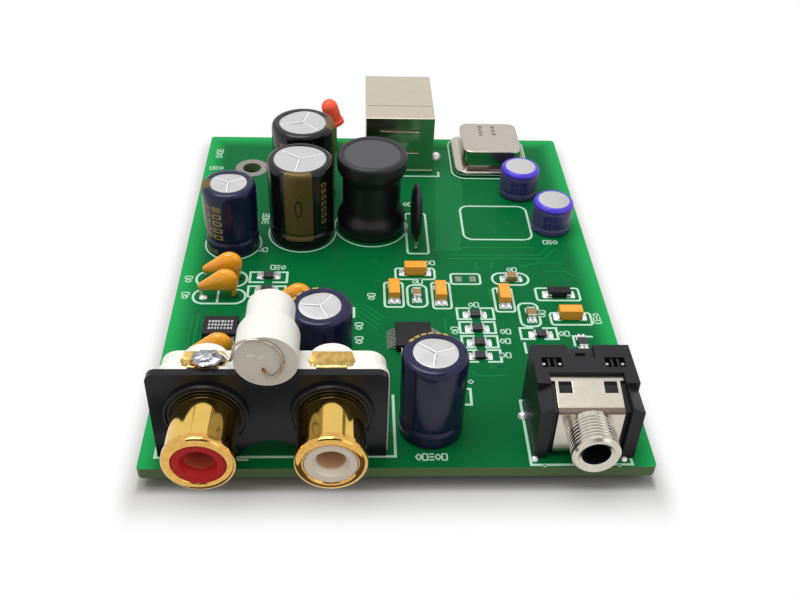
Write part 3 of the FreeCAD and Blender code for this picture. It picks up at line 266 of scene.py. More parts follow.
METAL_LOOKS = {
    "gold_plate": ((228, 190, 100), 0.1, 0.06, 900.0, 0.02),
    "rim_gold": ((232, 188, 100), 0.09, 0.05, 2200.0, 0.03, {"worn": (198, 146, 78), "patch": 0.4}),
    "tab_gold": ((210, 178, 108), 0.2, 0.12, 1300.0, 0.12, {"worn": (150, 120, 60), "patch": 0.35}),
    "tin_plate": ((205, 203, 196), 0.26, 0.08, 2500.0, 0.05),
    "lead_grey": ((150, 147, 140), 0.35, 0.12, 2500.0, 0.05),
    "solder": ((212, 214, 214), 0.24, 0.18, 1800.0, 0.25),
    "old_solder": ((196, 198, 208), 0.36, 0.1, 1800.0, 0.9, {"worn": (96, 96, 104), "patch": 0.25}),
    "bare_wire": ((176, 164, 150), 0.18, 0.2, 900.0, 0.05),
    "copper": ((176, 104, 66), 0.3, 0.15, 1500.0, 0.05),
    "nickel_plate": ((204, 198, 184), 0.2, 0.08, 1100.0, 0.06),
    "thread_shade": ((84, 79, 70), 0.4, 0.1, 2500.0, 0.05),
    # Dark brown of the painted reflection along the jack's fold
    "painted_fold_reflection": ((108, 94, 88), 0.4, 0.2, 1800.0, 0.2),
    "usb_metal": ((206, 195, 177), 0.16, 0.05, 600.0, 0.02),
    "clock_metal": ((192, 184, 174), 0.17, 0.06, 500.0, 0.02),
    "aluminium": ((207, 206, 207), 0.32, 0.05, 2600.0, 0.06),
    # Grey of the painted shade beside the vent scores
    "vent_shade": ((140, 140, 144), 0.4, 0.06, 2600.0, 0.05),
}


def looks(table, metallic):
    """Materials of a table, by name."""
    made = {}
    for name, (colour, roughness, spread, grain, bump, *more) in table.items():
        rest = {"metallic": metallic, **dict(*more)}
        made[name] = surface(name, colour, roughness, spread, grain, bump, **rest)
    return made


MATERIALS = {"board_green": board_surface(), **looks(PLAIN_LOOKS, 0.0), **looks(METAL_LOOKS, 1.0)}


# Pieces and bodies


def paint_nodes():
    """Give every CAD node the material of its slot."""
    for name, node in frame["nodes"].items():
        node.data.materials.clear()
        node.data.materials.append(MATERIALS[SLOT_OF[name]])


def piece(name, maker, slot, material=None, replaced=(), smooth=35.0):
    """Object from a function that fills a mesh, riding on the board, in a slot that a node may stand for."""
    slot = SLOT_OF.get(slot, slot)
    mesh = bpy.data.meshes.new(name)
    work = bmesh.new()
    maker(work)
    bmesh.ops.recalc_face_normals(work, faces=work.faces)
    work.to_mesh(mesh)
    work.free()
    mesh.polygons.foreach_set("use_smooth", [True] * len(mesh.polygons))
    mesh.set_sharp_from_angle(angle=math.radians(smooth))
    made = bpy.data.objects.new(name, mesh)
    bpy.context.scene.collection.objects.link(made)
    mesh.materials.append(MATERIALS[material or slot])
    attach(made, "root")
    if replaced:
        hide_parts(*replaced)
    return made


def stand_in(node, ending, maker, material=None, smooth=35.0):
    """Piece that is shown in place of a CAD node."""
    return piece(node + ending, maker, node, material, (node,), smooth)


# Bend in degrees that is still shaded smooth on molten and dipped forms, and softening of edges
MOLTEN = 60.0
SOFT_FLAT = 0.5
SOFT_ANGLE = 40
SOFT_SEGMENTS = 2


def softened(node, width):
    """Copy of a CAD node with rounded edges, shown in its place."""
    def copy_node(work):
        work.from_mesh(frame["nodes"][node].data)
        bmesh.ops.remove_doubles(work, verts=work.verts, dist=WELD)
        flat = math.radians(SOFT_FLAT)
        bmesh.ops.dissolve_limit(work, angle_limit=flat, verts=work.verts, edges=work.edges)

    bevel = stand_in(node, "_soft", copy_node).modifiers.new("rounded_edges", "BEVEL")
    bevel.width = width * MM
    bevel.segments = SOFT_SEGMENTS
    bevel.limit_method = "ANGLE"
    bevel.angle_limit = math.radians(SOFT_ANGLE)
    bevel.harden_normals = True


def turns(start, end, steps):
    """Angles in radians from one angle in degrees to another, both included."""
    return [math.radians(start + (end - start) * step / steps) for step in range(steps + 1)]


def full_turn(count):
    """Angles in radians once round."""
    return turns(0, 360, count)[:-1]


def loft(work, rows, looped=False):
    """Closed body through rings of points in mm; one point is a tip, a looped one ends where it starts."""
    rings = [[work.verts.new(at(*point)) for point in row] for row in rows]
    count = max(len(ring) for ring in rings)
    ends = [] if looped else [rings[0], rings[-1]]
    if looped:
        rings.append(rings[0])
    for near, far in zip(rings, rings[1:]):
        for step in range(count):
            before, here = ([ring[place % len(ring)] for ring in (near, far)] for place in (step - 1, step))
            work.faces.new(list(dict.fromkeys(before + here[::-1])))
    for end in ends:
        if len(end) > 2:
            work.faces.new(end)


def round_point(centre, axis, radius, height, turn):
    """Point on a circle about an axis through a centre, which is given by its other two places, in mm."""
    side = centre[0] + radius * math.cos(turn)
    other = centre[1] + radius * math.sin(turn)
    return {"x": (height, side, other), "y": (side, height, other), "z": (side, other, height)}[axis]


def lathe(work, profile, centre, axis="z", count=96):
    """Round body from radius and height pairs in mm, from axis to axis or closed on itself."""
    rows = []
    for radius, height in profile:
        angles = full_turn(count) if radius else [0]
        rows.append([round_point(centre, axis, radius, height, turn) for turn in angles])
    loft(work, rows, profile[0][0] != 0)


def lathed(*sizes, **more):
    """Function that fills a mesh with one round body."""
    return lambda work: lathe(work, *sizes, **more)


def ring_side(inner, outer, low, high):
    """Profile of a ring with square edges."""
    return [(inner, low), (outer, low), (outer, high), (inner, high)]


MOST_CUT = 0.49


def rounded(profile, radius, steps=4):
    """Profile with its corners rounded, by cutting each one with an arc-like curve."""
    result = [profile[0]]
    for before, corner, after in zip(profile, profile[1:], profile[2:]):
        here = Vector(corner)
        to_before, to_after = Vector(before) - here, Vector(after) - here
        reach = min(radius, to_before.length * MOST_CUT, to_after.length * MOST_CUT)
        first = here + to_before.normalized() * reach
        last = here + to_after.normalized() * reach
        for step in range(steps + 1):
            share = step / steps
            point = first * (1 - share) ** 2 + here * 2 * share * (1 - share) + last * share ** 2
            result.append((point.x, point.y))
    result.append(profile[-1])
    return result


def slab(work, outline, low, high):
    """Closed flat body over an outline of places in mm, between two heights."""
    loft(work, [[(x, y, z) for x, y in outline] for z in (low, high)])


def block(work, low, high):
    """Closed block between two corners in mm."""
    slab(work, [(low[0], low[1]), (high[0], low[1]), (high[0], high[1]), (low[0], high[1])], low[2], high[2])


def circle(x, y, radius, count=32):
    """Places on a circle."""
    return [(x + radius * math.cos(turn), y + radius * math.sin(turn)) for turn in full_turn(count)]


INK_WIDTH = 0.36
INK_THICK = 0.025
LEAST_MITRE = 0.4


def line(work, points, width, closed=False, thick=INK_THICK):
    """Strip of even width along places in mm on the board, or at the height of points that have one."""
    low = points[0][2] if len(points[0]) > 2 else 0.0
    places = [Vector(point[:2]) for point in points]
    rows = []
    for step, here in enumerate(places):
        into = (here - places[step - 1]).normalized()
        out = (places[(step + 1) % len(places)] - here).normalized()
        if not closed and step == 0:
            into = out
        if not closed and step == len(places) - 1:
            out = into
        normal = Vector((-into.y - out.y, into.x + out.x)).normalized()
        reach = normal * (width / 2 / max(LEAST_MITRE, normal.dot(Vector((-into.y, into.x)))))
        left, right = here + reach, here - reach
        rows.append([(*left, low + thick), (*right, low + thick), (*right, low), (*left, low)])
    loft(work, rows, closed)


def tube(work, path, radius, count=14):
    """Round closed bar along points in mm."""
    rows = []
    side = None
    for step, point in enumerate(path):
        into = (point - path[step - 1]).normalized() if step else (path[1] - point).normalized()
        out = (path[step + 1] - point).normalized() if step + 1 < len(path) else into
        heading = (into + out).normalized()
        if side is None:
            side = heading.orthogonal()
        side = (side - heading * side.dot(heading)).normalized()
        other = heading.cross(side)
        rows.append([point + (side * math.cos(turn) + other * math.sin(turn)) * radius
                     for turn in full_turn(count)])
    loft(work, rows)


LUMP_PEAK = 0.98


def lump(work, low, high, around=36, rings=9, rough=0.08):
    """Uneven closed mound that fills a box from its flat bottom up."""
    low, high = Vector(low), Vector(high)
    middle, half = (low + high) / 2, (high - low) / 2
    rows = []
    for ring in range(rings):
        rise = math.pi / 2 * ring / rings
        row = []
        for turn in full_turn(around):
            dent = 1 - rough * (0.5 + 0.5 * math.sin(3 * turn + 5 * rise) * math.cos(5 * turn - 2 * rise))
            flat = math.cos(rise) * dent
            row.append((middle.x + half.x * flat * math.cos(turn), middle.y + half.y * flat * math.sin(turn),
                        low.z + 2 * half.z * math.sin(rise) * dent))
        rows.append(row)
    loft(work, rows + [[(middle.x, middle.y, low.z + (high.z - low.z) * LUMP_PEAK)]])


def solder_piece(name, *lumps, **sizes):
    """Bright mounds of solder, each given by two corners of its box."""
    def mounds(work):
        for low, high in lumps:
            lump(work, low, high, **sizes)

    piece(name, mounds, "solder", "bright_solder", smooth=MOLTEN)


def solid_boxes(node):
    """Lowest and highest corner in mm of each separate solid of a node."""
    work = bmesh.new()
    work.from_mesh(frame["nodes"][node].data)
    bmesh.ops.remove_doubles(work, verts=work.verts, dist=WELD)
    boxes = []
    seen = set()
    for seed in work.verts:
        if seed in seen:
            continue
        group, queue = [], [seed]
        seen.add(seed)
        while queue:
            vert = queue.pop()
            group.append(on_board(vert.co))
            fresh = {edge.other_vert(vert) for edge in vert.link_edges} - seen
            seen |= fresh
            queue.extend(fresh)
        boxes.append(tuple(Vector([pick(places) for places in zip(*group)]) for pick in (min, max)))
    work.free()
    return boxes


# Cans, in mm and degrees: radius of the bare top of each one and the turn of its vent
CANS = {
    "navy_capacitor_front": (2.83, 20.0), "navy_capacitor_middle": (2.8, 55.0),
    "navy_capacitor_left": (2.87, 30.0), "black_capacitor_front": (4.1, 22.0),
    "black_capacitor_rear": (3.9, 75.0),
}
VENT_WIDTH = 0.15
VENT_SHADE = (0.1, 0.13)
VENT_RISE = 0.05
VENT_LIFT = 0.02
VENT_SUNK = 0.01
VENT_ARMS = 3
VENT_REACH = 0.9
SLEEVE_LIP = 0.16
SLEEVE_FOOT = 0.3
SLEEVE_ROUND = 0.5
GROOVE_HEIGHT = 2.5
GROOVE_DEPTH = 0.34
GROOVE_REACH = 0.5
SHOULDER = ((0.0, 0.9), (0.15, 0.25), (0.6, 0.0))
LIP_DROP = 0.04
DISC_GAP = 0.02
DISC_LEVELS = (-0.05, 0.04, 0.09)
DISC_BEVEL = 0.4
DISC_RINGS = (0.6, 0.3)
PATCH_DEPTH = 0.1

# Signs printed on the sleeves, in shares of their field: bars of a box and of a stack, and a box's sides
BOX_BARS = (0.0, 0.5)
STACK_BARS = (0.0, 0.25, 0.5)
BOX_SIDES = (0.0, 0.62)
SIGN_SIZE = (0.8, 0.65)
SIGN_STROKE = (0.18, 0.15)

# Violet cans, in mm and degrees
VIOLET_DISC = 2.6
VIOLET_RIM = 0.95
VIOLET_GROOVE = ((0.0, 0.9), (0.18, 1.2), (0.0, 1.5))
VIOLET_PRINT = (238, 292)
VIOLET_PRINT_INSET = (1.7, 0.2)
VIOLET_SIDE_ROUND = 0.25
VIOLET_EDGE = (0.45, 0.4)
VIOLET_EDGE_ROUND = 0.35
VIOLET_SEAT = 0.1
VIOLET_DISC_DROPS = (0.12, 0.04)
VIOLET_DISC_BEVEL = 0.3

# Choke, in mm
CHOKE_WAIST = 0.9
CHOKE_FLANGE = 2.7
CHOKE_SLOPE = 1.2
CHOKE_LIP = 1.1
CHOKE_FOOT = (0.3, 1.2)
CHOKE_TOP = (0.4, 0.35)
CHOKE_ROUND = 1.1
CHOKE_LIP_DROPS = (0.1, 0.25)
CHOKE_END_DROPS = (0.3, 0.2, 0.17)


def round_size(node):
    """Middle place, radius, bottom and top of an upright round node, in mm."""
    low, high = box_mm(node)
    return ((low + high) / 2).xy, (high.x - low.x) / 2, low.z, high.z


def sleeve_side(node):
    """Outer profile of a sleeve from its foot, over the crimp groove and the shoulder, to its lip."""
    _, radius, bottom, top = round_size(node)
    groove = bottom + GROOVE_HEIGHT
    foot = [(radius - SLEEVE_FOOT, bottom), (radius, bottom)]
    crimp = [(radius, groove - GROOVE_REACH), (radius - GROOVE_DEPTH, groove),
             (radius, groove + GROOVE_REACH)]
    shoulder = [(radius - inward, top - down) for inward, down in SHOULDER]
    return rounded(foot + crimp + shoulder + [(CANS[node][0], top - LIP_DROP)], SLEEVE_ROUND)


def sleeved_can(node):
    """Sleeve with a crimp groove and a rolled top edge, and the can's top inside it with a vent score drawn
    in painted highlight and painted shade.
    """
    centre, _, bottom, top = round_size(node)
    disc, vent_turn = CANS[node]
    level = top - SLEEVE_LIP
    start = math.radians(vent_turn)
    foot, edge, face = (level + rise for rise in DISC_LEVELS)
    outside = [(0, bottom)] + sleeve_side(node) + [(disc, level), (0, level)]
    disc_side = [(0, foot), (disc - DISC_GAP, foot), (disc - DISC_GAP, edge), (disc - DISC_BEVEL, face)]
    disc_side += [(disc * share, face) for share in DISC_RINGS] + [(0, face)]

    def scored_top(work):
        lathe(work, disc_side, centre)
        for vert in work.verts:
            place = on_board(vert.co)
            if place.z > level:
                reach = place.xy - centre
                wave = math.cos(VENT_ARMS * (math.atan2(reach.y, reach.x) - start))
                vert.co.z += VENT_RISE * reach.length / disc * wave * MM

    def vent(work, width, shift, thick):
        for arm in range(VENT_ARMS):
            turn = start + math.tau * arm / VENT_ARMS
            along, side = Vector((math.cos(turn), math.sin(turn))), Vector((-math.sin(turn), math.cos(turn)))
            first = centre + side * shift
            last = first + along * VENT_REACH * disc
            line(work, [(*place, face - VENT_SUNK) for place in (first, last)], width, thick=thick)

    stand_in(node, "_sleeve", lathed(outside, centre))
    piece(node + "_top", scored_top, node, "aluminium")
    # The vent score is white strokes of painted highlight, with a grey line of painted shade beside each arm.
    piece(node + "_vent", lambda work: vent(work, VENT_WIDTH, 0, VENT_RISE + VENT_LIFT), node, "white_highlight_and_fleck")
    piece(node + "_vent_side", lambda work: vent(work, *VENT_SHADE, VENT_RISE), node, "vent_shade")


def wrapped(work, profile, centre, span, lift=0.015, steps=12):
    """Thin closed patch that lies on a round side between two angles, in degrees."""
    rows = []
    for turn in turns(*span, steps):
        outer = [round_point(centre, "z", radius + lift, height, turn) for radius, height in profile]
        inner = [round_point(centre, "z", radius - PATCH_DEPTH, height, turn) for radius, height in profile]
        rows.append(outer + inner[::-1])
    loft(work, rows)


def band(node, name, span, low):
    """Gold field on a sleeve from a height up to the top lip."""
    profile = [point for point in sleeve_side(node) if point[1] >= low]
    piece(name, lambda work: wrapped(work, profile, round_size(node)[0], span), node, "gold_print")


def printed_marks(node, name, span, heights, columns, rows, material="mark_gold"):
    """Columns of plain marks printed on a straight part of a sleeve: hollow boxes and stacks of bars."""
    centre, radius, _, _ = round_size(node)
    pitch = (span[1] - span[0]) / columns
    rise = (heights[1] - heights[0]) / rows

    def bar(work, start, low, wide, tall):
        levels = [(radius, low + rise * share) for share in tall]
        wrapped(work, levels, centre, [start + pitch * share for share in wide], steps=4)

    def mark(work, start, low):
        hollow = random.random() < 0.5
        wide, tall = SIGN_SIZE
        upright_stroke, level_stroke = SIGN_STROKE
        for share in BOX_BARS if hollow else STACK_BARS:
            bar(work, start, low, (0.0, wide), (share, share + level_stroke))
        for share in BOX_SIDES if hollow else ():
            bar(work, start, low, (share, share + upright_stroke), (0.0, tall))

    def bars(work):
        for column in range(columns):
            for row in range(rows):
                mark(work, span[0] + pitch * column, heights[0] + rise * row)

    piece(name, bars, node, material)


SHOULDER_PRINT = (0.75, 0.45)
DASH_SHARE = 0.72


def shoulder_marks(node, name, span, count):
    """Row of short arcs printed on the rounded shoulder of a sleeve."""
    centre, radius, _, top = round_size(node)
    pitch = (span[1] - span[0]) / count
    inward, down = SHOULDER_PRINT
    profile = [point for point in sleeve_side(node) if top - down < point[1] and point[0] > radius - inward]

    def arcs(work):
        for step in range(count):
            start = span[0] + pitch * step
            wrapped(work, profile, centre, (start, start + pitch * DASH_SHARE), steps=4)

    piece(name, arcs, node, "dash_gold")


def printed_oval(node, name, turn, height, half_turn, half_height, material, lift, rows=8):
    """Oval field of colour on a straight part of a sleeve."""
    centre, radius, _, _ = round_size(node)

    def strips(work):
        for row in range(rows):
            levels = [(radius, height + half_height * (2 * (row + step) / rows - 1)) for step in (0, 1)]
            share = (2 * row + 1) / rows - 1
            reach = half_turn * math.sqrt(1 - share * share)
            wrapped(work, levels, centre, (turn - reach, turn + reach), lift, 6)

    piece(name, strips, node, material)


def violet_can(node):
    """Low can with a coloured rim on a bare top and a darker coloured side."""
    centre, radius, bottom, top = round_size(node)
    rim = top - VIOLET_RIM
    groove = [(radius - inward, bottom + rise) for inward, rise in VIOLET_GROOVE]
    side = rounded([(0, bottom), (radius, bottom), *groove, (radius, rim), (0, rim)], VIOLET_SIDE_ROUND)
    inward, down = VIOLET_EDGE
    seat = top - VIOLET_SEAT
    collar = rounded([(0, rim), (radius, rim), (radius, top - down), (radius - inward, top),
                      (VIOLET_DISC, top), (VIOLET_DISC, seat), (0, seat)], VIOLET_EDGE_ROUND)
    edge = VIOLET_DISC - DISC_GAP
    foot, corner = (top - drop for drop in VIOLET_DISC_DROPS)
    disc = [(0, foot), (edge, foot), (edge, corner), (VIOLET_DISC - VIOLET_DISC_BEVEL, top), (0, top)]
    above, below = VIOLET_PRINT_INSET
    stand_in(node, "_side", lathed(side, centre), "violet_side")
    piece(node + "_rim", lathed(collar, centre), node)
    piece(node + "_top", lathed(disc, centre), node, "aluminium")
    printed_marks(node, node + "_print", VIOLET_PRINT, (bottom + above, rim - below), 2, 2, "violet_print")


def choke():
    """Shrunk sleeve over a drum, with the drum's grey end inside the sleeve's lip."""
    node = "choke_body"
    centre, radius, bottom, top = round_size(node)
    waist, lip = radius - CHOKE_WAIST, radius - CHOKE_LIP
    flange_low, flange_high = bottom + CHOKE_FLANGE, top - CHOKE_FLANGE
    inward, rise = CHOKE_FOOT
    edge, drop = CHOKE_TOP
    lip_top, seat = (top - down for down in CHOKE_LIP_DROPS)
    foot, corner, face = (top - down for down in CHOKE_END_DROPS)
    sleeve = rounded([
        (0, bottom), (radius - inward, bottom), (radius, bottom + rise), (radius, flange_low),
        (waist, flange_low + CHOKE_SLOPE), (waist, flange_high - CHOKE_SLOPE), (radius, flange_high),
        (radius, top - drop), (radius - edge, top), (lip, lip_top), (lip, seat), (0, seat)],
        CHOKE_ROUND, 6)
    end = [(0, foot), (lip - DISC_GAP, foot), (lip - DISC_GAP, corner), (0, face)]
    piece("choke_sleeve", lathed(sleeve, centre), node, replaced=(node,))
    piece("choke_end", lathed(end, centre), node, "ferrite_grey")


def cans():
    """All round cans and the choke, with their fields of print."""
    for node in CANS:
        sleeved_can(node)
    for node in ("violet_capacitor_front", "violet_capacitor_rear"):
        violet_can(node)
    choke()
    front, rear, left = "black_capacitor_front", "black_capacitor_rear", "navy_capacitor_left"
    band(front, "black_front_band", (243, 293), 0.3)
    printed_oval(front, "black_front_oval", 268, 8.0, 6.5, 1.5, "sleeve_black", 0.03)
    printed_oval(front, "black_front_oval_inside", 268, 8.0, 4.5, 1.2, "gold_print", 0.045)
    printed_marks(front, "black_front_print", (310, 324), (4.5, 12.3), 1, 7)
    band(rear, "black_rear_band", (335, 385), 0.3)
    printed_marks(rear, "black_rear_print", (225, 300), (11.2, 12.8), 3, 1)
    band(left, "navy_left_band", (160, 205), 10.2)
    printed_marks(left, "navy_left_print", (208, 262), (3.4, 9.8), 2, 5)
    printed_marks(left, "navy_left_foot_print", (205, 245), (0.5, 1.6), 2, 1)
    shoulder_marks("navy_capacitor_middle", "navy_middle_print", (95, 170), 4)
    shoulder_marks("navy_capacitor_front", "navy_front_print", (62, 150), 6)


# Phono sockets, in mm: the shells, the inserts and the flaps of the ground tabs
SHELL_BORE = 3.1
RIM_LENGTH = 1.15
RIM_ROUND = (0.45, 0.62)
RIM_BACK = 0.2
BARREL_STEP = 0.17
INSERT_FLAT = 2.2
PIN_HOLE = 1.75
LINING_OF = {"left": "red_lining", "right": "white_lining"}
LINING_THICK = 0.05
LINING_BACK = 0.2
SEAT_GAP = 0.01
FUNNEL_DEPTH = 0.7
PAD_RINGS = (4.4, 4.92)
PAD_RING_ROUND = 0.17
HOUSING_EDGE = 0.15
TAB_SHEET = 0.1
TAB_NECK = (1.78, 0.35)
TAB_PIN = (0.6, 1.0)

# Rows of the flap from the neck to its back edge: half width, distance back, middle height and side height
TAB_ROWS = (
    (1.78, 0.0, -0.4, -0.4), (1.78, 0.2, -0.2, -0.2), (1.78, 0.42, -0.15, -0.15), (3.0, 0.5, -0.2, -0.6),
    (2.85, 0.85, -0.2, -0.45), (2.7, 1.5, -0.12, -0.25), (2.5, 2.2, -0.04, -0.08), (2.36, 2.7, 0.0, 0.0),
)
TAB_CREASE = 6
TAB_NECK_BELOW = 0.5
TAB_COLUMNS = 12

# The loose wire, from the middle of the post's face in mm, and its curl in degrees
POST_FACE = Vector((16.575, 2.0, 16.08))
WIRE_RADIUS = 0.17
WIRE_LEAD_IN = (
    (-6.625, 2.5, -1.08), (-5.825, 2.45, -0.63), (-4.975, 1.95, -0.83), (-4.375, 1.35, -1.08),
    (-4.125, 0.6, -0.38), (-3.825, -0.2, 0.82), (-3.625, -0.2, 1.62),
)
CURL_CENTRE = Vector((-1.2, -0.2, 0.35))
CURL_RADIUS = 3.2
CURL_TURNS = (135, -50)
HOOK_RADIUS = 0.45
HOOK_END = -151
WIRE_TIP = 1.15
SOLDER_GROW = Vector((0.2, 0.3, 0.0))
POST_FLECKS = (
    ((-2.2, 1.0), (-1.8, 1.1), (-1.6, 1.5), (-1.4, 1.1), (-1.0, 1.0), (-1.5, 0.85), (-1.7, 0.6)),
    ((-0.9, 0.75), (-0.5, 1.0), (-0.2, 0.8), (-0.5, 0.45)),
    ((0.6, 1.35), (0.95, 1.6), (0.85, 1.25)),
)
FLECK_RISE = 0.04
COPPER_SPECKS = ((-1.7, -0.9), (-1.3, -1.1), (-1.9, -0.4))
SPECK_LOW = Vector((-0.25, -0.2, -0.1))
SPECK_HIGH = Vector((0.25, 0.2, 0.25))


def socket(side):
    """Gilt shell, coloured insert and lined pin hole of one phono socket."""
    shell, insert = "phono_shell_" + side, "phono_insert_" + side
    low, high = box_mm(shell)
    centre = ((low.x + high.x) / 2, (low.z + high.z) / 2)
    rim = (high.x - low.x) / 2
    barrel = rim - BARREL_STEP
    shoulder = low.y + RIM_LENGTH
    inner, outer = RIM_ROUND
    quarter = [(1 - math.cos(turn), 1 - math.sin(turn)) for turn in turns(0, 90, 9)]
    lip = [(SHELL_BORE + inner * across, low.y + inner * back) for across, back in quarter]
    bead = [(rim - outer * across, low.y + outer * back) for back, across in quarter]
    rim_side = [(SHELL_BORE, shoulder)] + lip + bead + [(rim, shoulder), (barrel, shoulder + RIM_BACK)]
    face, seat = (corner.y for corner in box_mm(insert))
    funnel = face + FUNNEL_DEPTH
    outside = SHELL_BORE - SEAT_GAP
    insert_side = [(PIN_HOLE, seat), (outside, seat), (outside, face), (INSERT_FLAT, face),
                   (PIN_HOLE, funnel)]
    hole = PIN_HOLE - SEAT_GAP
    lining = ring_side(hole - LINING_THICK, hole, funnel + LINING_BACK, seat)
    stand_in(shell, "_turned", lathed(ring_side(SHELL_BORE, barrel, shoulder, high.y), centre, "y"))
    piece(shell + "_rim", lathed(rim_side, centre, "y"), shell, "rim_gold")
    stand_in(insert, "_turned", lathed(insert_side, centre, "y", 72), smooth=20.0)
    piece(insert + "_lining", lathed(lining, centre, "y", 48), insert, LINING_OF[side])


def ground_tab(side):
    """Stamped tab: pin and neck in the housing, and a dished flap with bent ears over it."""
    node = "phono_ground_tab_" + side
    low, high = box_mm(node)
    x = (low.x + high.x) / 2
    shares = [2 * step / TAB_COLUMNS - 1 for step in range(TAB_COLUMNS + 1)]

    def stamped(work):
        rows = []
        for half, back, middle, edge in TAB_ROWS:
            heights = [high.z + middle + (edge - middle) * share ** TAB_CREASE for share in shares]
            upper = [Vector((x + half * share, low.y + back, z)) for share, z in zip(shares, heights)]
            rows.append(upper + [point - Vector((0, 0, TAB_SHEET)) for point in reversed(upper)])
        loft(work, rows)
        neck, thick = TAB_NECK
        pin, pin_top = TAB_PIN
        block(work, (x - neck, low.y, pin_top), (x + neck, low.y + thick, high.z - TAB_NECK_BELOW))
        block(work, (x - pin, low.y, low.z), (x + pin, low.y + thick, pin_top))

    stand_in(node, "_stamped", stamped, "tab_gold")


def upright(turn):
    """Unit direction in the plane that faces the front."""
    return Vector((math.cos(turn), 0, math.sin(turn)))


def ground_wire():
    """Bare wire curled over the post, with its hooked free end."""
    node = "ground_wire"
    middle = POST_FACE + CURL_CENTRE
    curl = [middle + upright(turn) * CURL_RADIUS for turn in turns(*CURL_TURNS, 40)]
    hook_middle = middle + upright(math.radians(CURL_TURNS[1])) * (CURL_RADIUS - HOOK_RADIUS)
    hook = [hook_middle + upright(turn) * HOOK_RADIUS for turn in turns(CURL_TURNS[1], HOOK_END, 8)[1:]]
    tip = hook[-1] + upright(math.radians(HOOK_END - 90)) * WIRE_TIP
    path = [POST_FACE + Vector(step) for step in WIRE_LEAD_IN] + curl + hook + [tip]
    bare = [hook[-1].lerp(tip, 0.5), tip]
    stand_in(node, "_round", lambda work: tube(work, path, WIRE_RADIUS), "bare_wire")
    piece("ground_wire_end", lambda work: tube(work, bare, WIRE_RADIUS + SEAT_GAP), node, "copper")


def ground_solder():
    """Dull lump of solder on the left tab, with specks of copper at its front left."""
    node = "ground_solder"
    low, high = box_mm(node)
    low, high = low - SOLDER_GROW, high + SOLDER_GROW
    middle = (low + high) / 2

    def specks(work):
        for x, y in COPPER_SPECKS:
            spot = Vector((middle.x + x, middle.y + y, low.z))
            lump(work, spot + SPECK_LOW, spot + SPECK_HIGH, 12, 4)

    stand_in(node, "_lump", lambda work: lump(work, low, high, rough=0.25), "old_solder", MOLTEN)
    piece("ground_solder_specks", specks, node, "copper", smooth=MOLTEN)


def pad_rings():
    """Fine raised rings on each round pad of the front plate, behind the shells."""
    node = "phono_faceplate"
    face = box_mm(node)[0].y

    def rings(work):
        for side in LINING_OF:
            middle = middle_mm("phono_shell_" + side)
            for radius in PAD_RINGS:
                lathe(work, circle(radius, face, PAD_RING_ROUND, 8), (middle.x, middle.z), "y")

    piece("phono_pad_rings", rings, node)


def post_flecks():
    """Small white flecks on the post's front face."""
    def flecks(work):
        for outline in POST_FLECKS:
            loft(work, [[POST_FACE + Vector((side, level, rise)) for side, rise in outline]
                        for level in (-FLECK_RISE, FLECK_RISE)])

    piece("post_flecks", flecks, "phono_housing", "white_highlight_and_fleck")


def phono_sockets():
    """Both sockets, their tabs and housing, and the ground wire with its solder."""
    for side in LINING_OF:
        socket(side)
        ground_tab(side)
    softened("phono_housing", HOUSING_EDGE)
    pad_rings()
    post_flecks()
    ground_wire()
    ground_solder()


# Headphone jack, in mm
THREAD_PITCH = 0.5
THREAD_DEPTH = 0.13
THREAD_FLAT = 0.26
THREAD_START = 0.6
THREAD_END = 0.3
ROOT_ROUND = 0.07
COLLAR_EDGE = 0.3
MOUTH_RADIUS = 2.3
BORE_RADIUS = 1.8
MOUTH_DEPTH = 0.4
BORE_SHADE_SHEET = 0.04
JACK_SOLDER = ((49.1, 8.8, 0.75), (49.6, 1.3, 0.5), (61.0, 1.2, 0.45))
BLADE_REACH = 9.0
BLADE_TIP = 0.35
BLADE_SUNK = 0.1
BLADE_TIP_BELOW = 0.35
RIB_HALF = (0.16, 0.72)
RIB_APART = 0.4
RIB_BELOW = 0.12
JACK_EDGES = {"jack_housing": 0.12, "jack_faceplate": 0.08}

# Painted dark reflection along the front fold of the jack's sheet, in mm: half its length, its section from
# the front up and the band's depth
FOLD_HALF = 4.12
FOLD_LINE = ((1.89, 7.42), (2.04, 7.71), (2.4, 7.862), (2.62, 7.92))
FOLD_DEEP = 0.1


def jack_fold_painted_reflection():
    """Band of painted dark reflection along the front fold of the jack's sheet."""
    x = middle_mm("jack_faceplate").x
    section = list(FOLD_LINE) + [(y + FOLD_DEEP, z - FOLD_DEEP) for y, z in reversed(FOLD_LINE)]
    rows = [[(end, y, z) for y, z in section] for end in (x - FOLD_HALF, x + FOLD_HALF)]
    piece("jack_fold_painted_reflection", lambda work: loft(work, rows), "jack_faceplate", "painted_fold_reflection")


def jack_top(reach):
    """Bright tips and black ribs at the blades that show in the top of the jack."""
    top = box_mm("jack_housing")[1].z
    blades = [box for box in solid_boxes("jack_contacts") if box[1].y < reach]

    def tips(work):
        for low, high in blades:
            for x in (low.x, high.x - BLADE_TIP):
                block(work, (x, low.y, high.z - BLADE_SUNK), (x + BLADE_TIP, high.y, top - BLADE_TIP_BELOW))

    def ribs(work):
        wide, deep = RIB_HALF
        for low, high in blades:
            middle = (low + high) / 2
            for x in (middle.x - RIB_APART, middle.x + RIB_APART):
                block(work, (x - wide, middle.y - deep, high.z), (x + wide, middle.y + deep, top - RIB_BELOW))

    piece("jack_blade_tips", tips, "jack_contacts", "tin_plate")
    piece("jack_ribs", ribs, "jack_black")


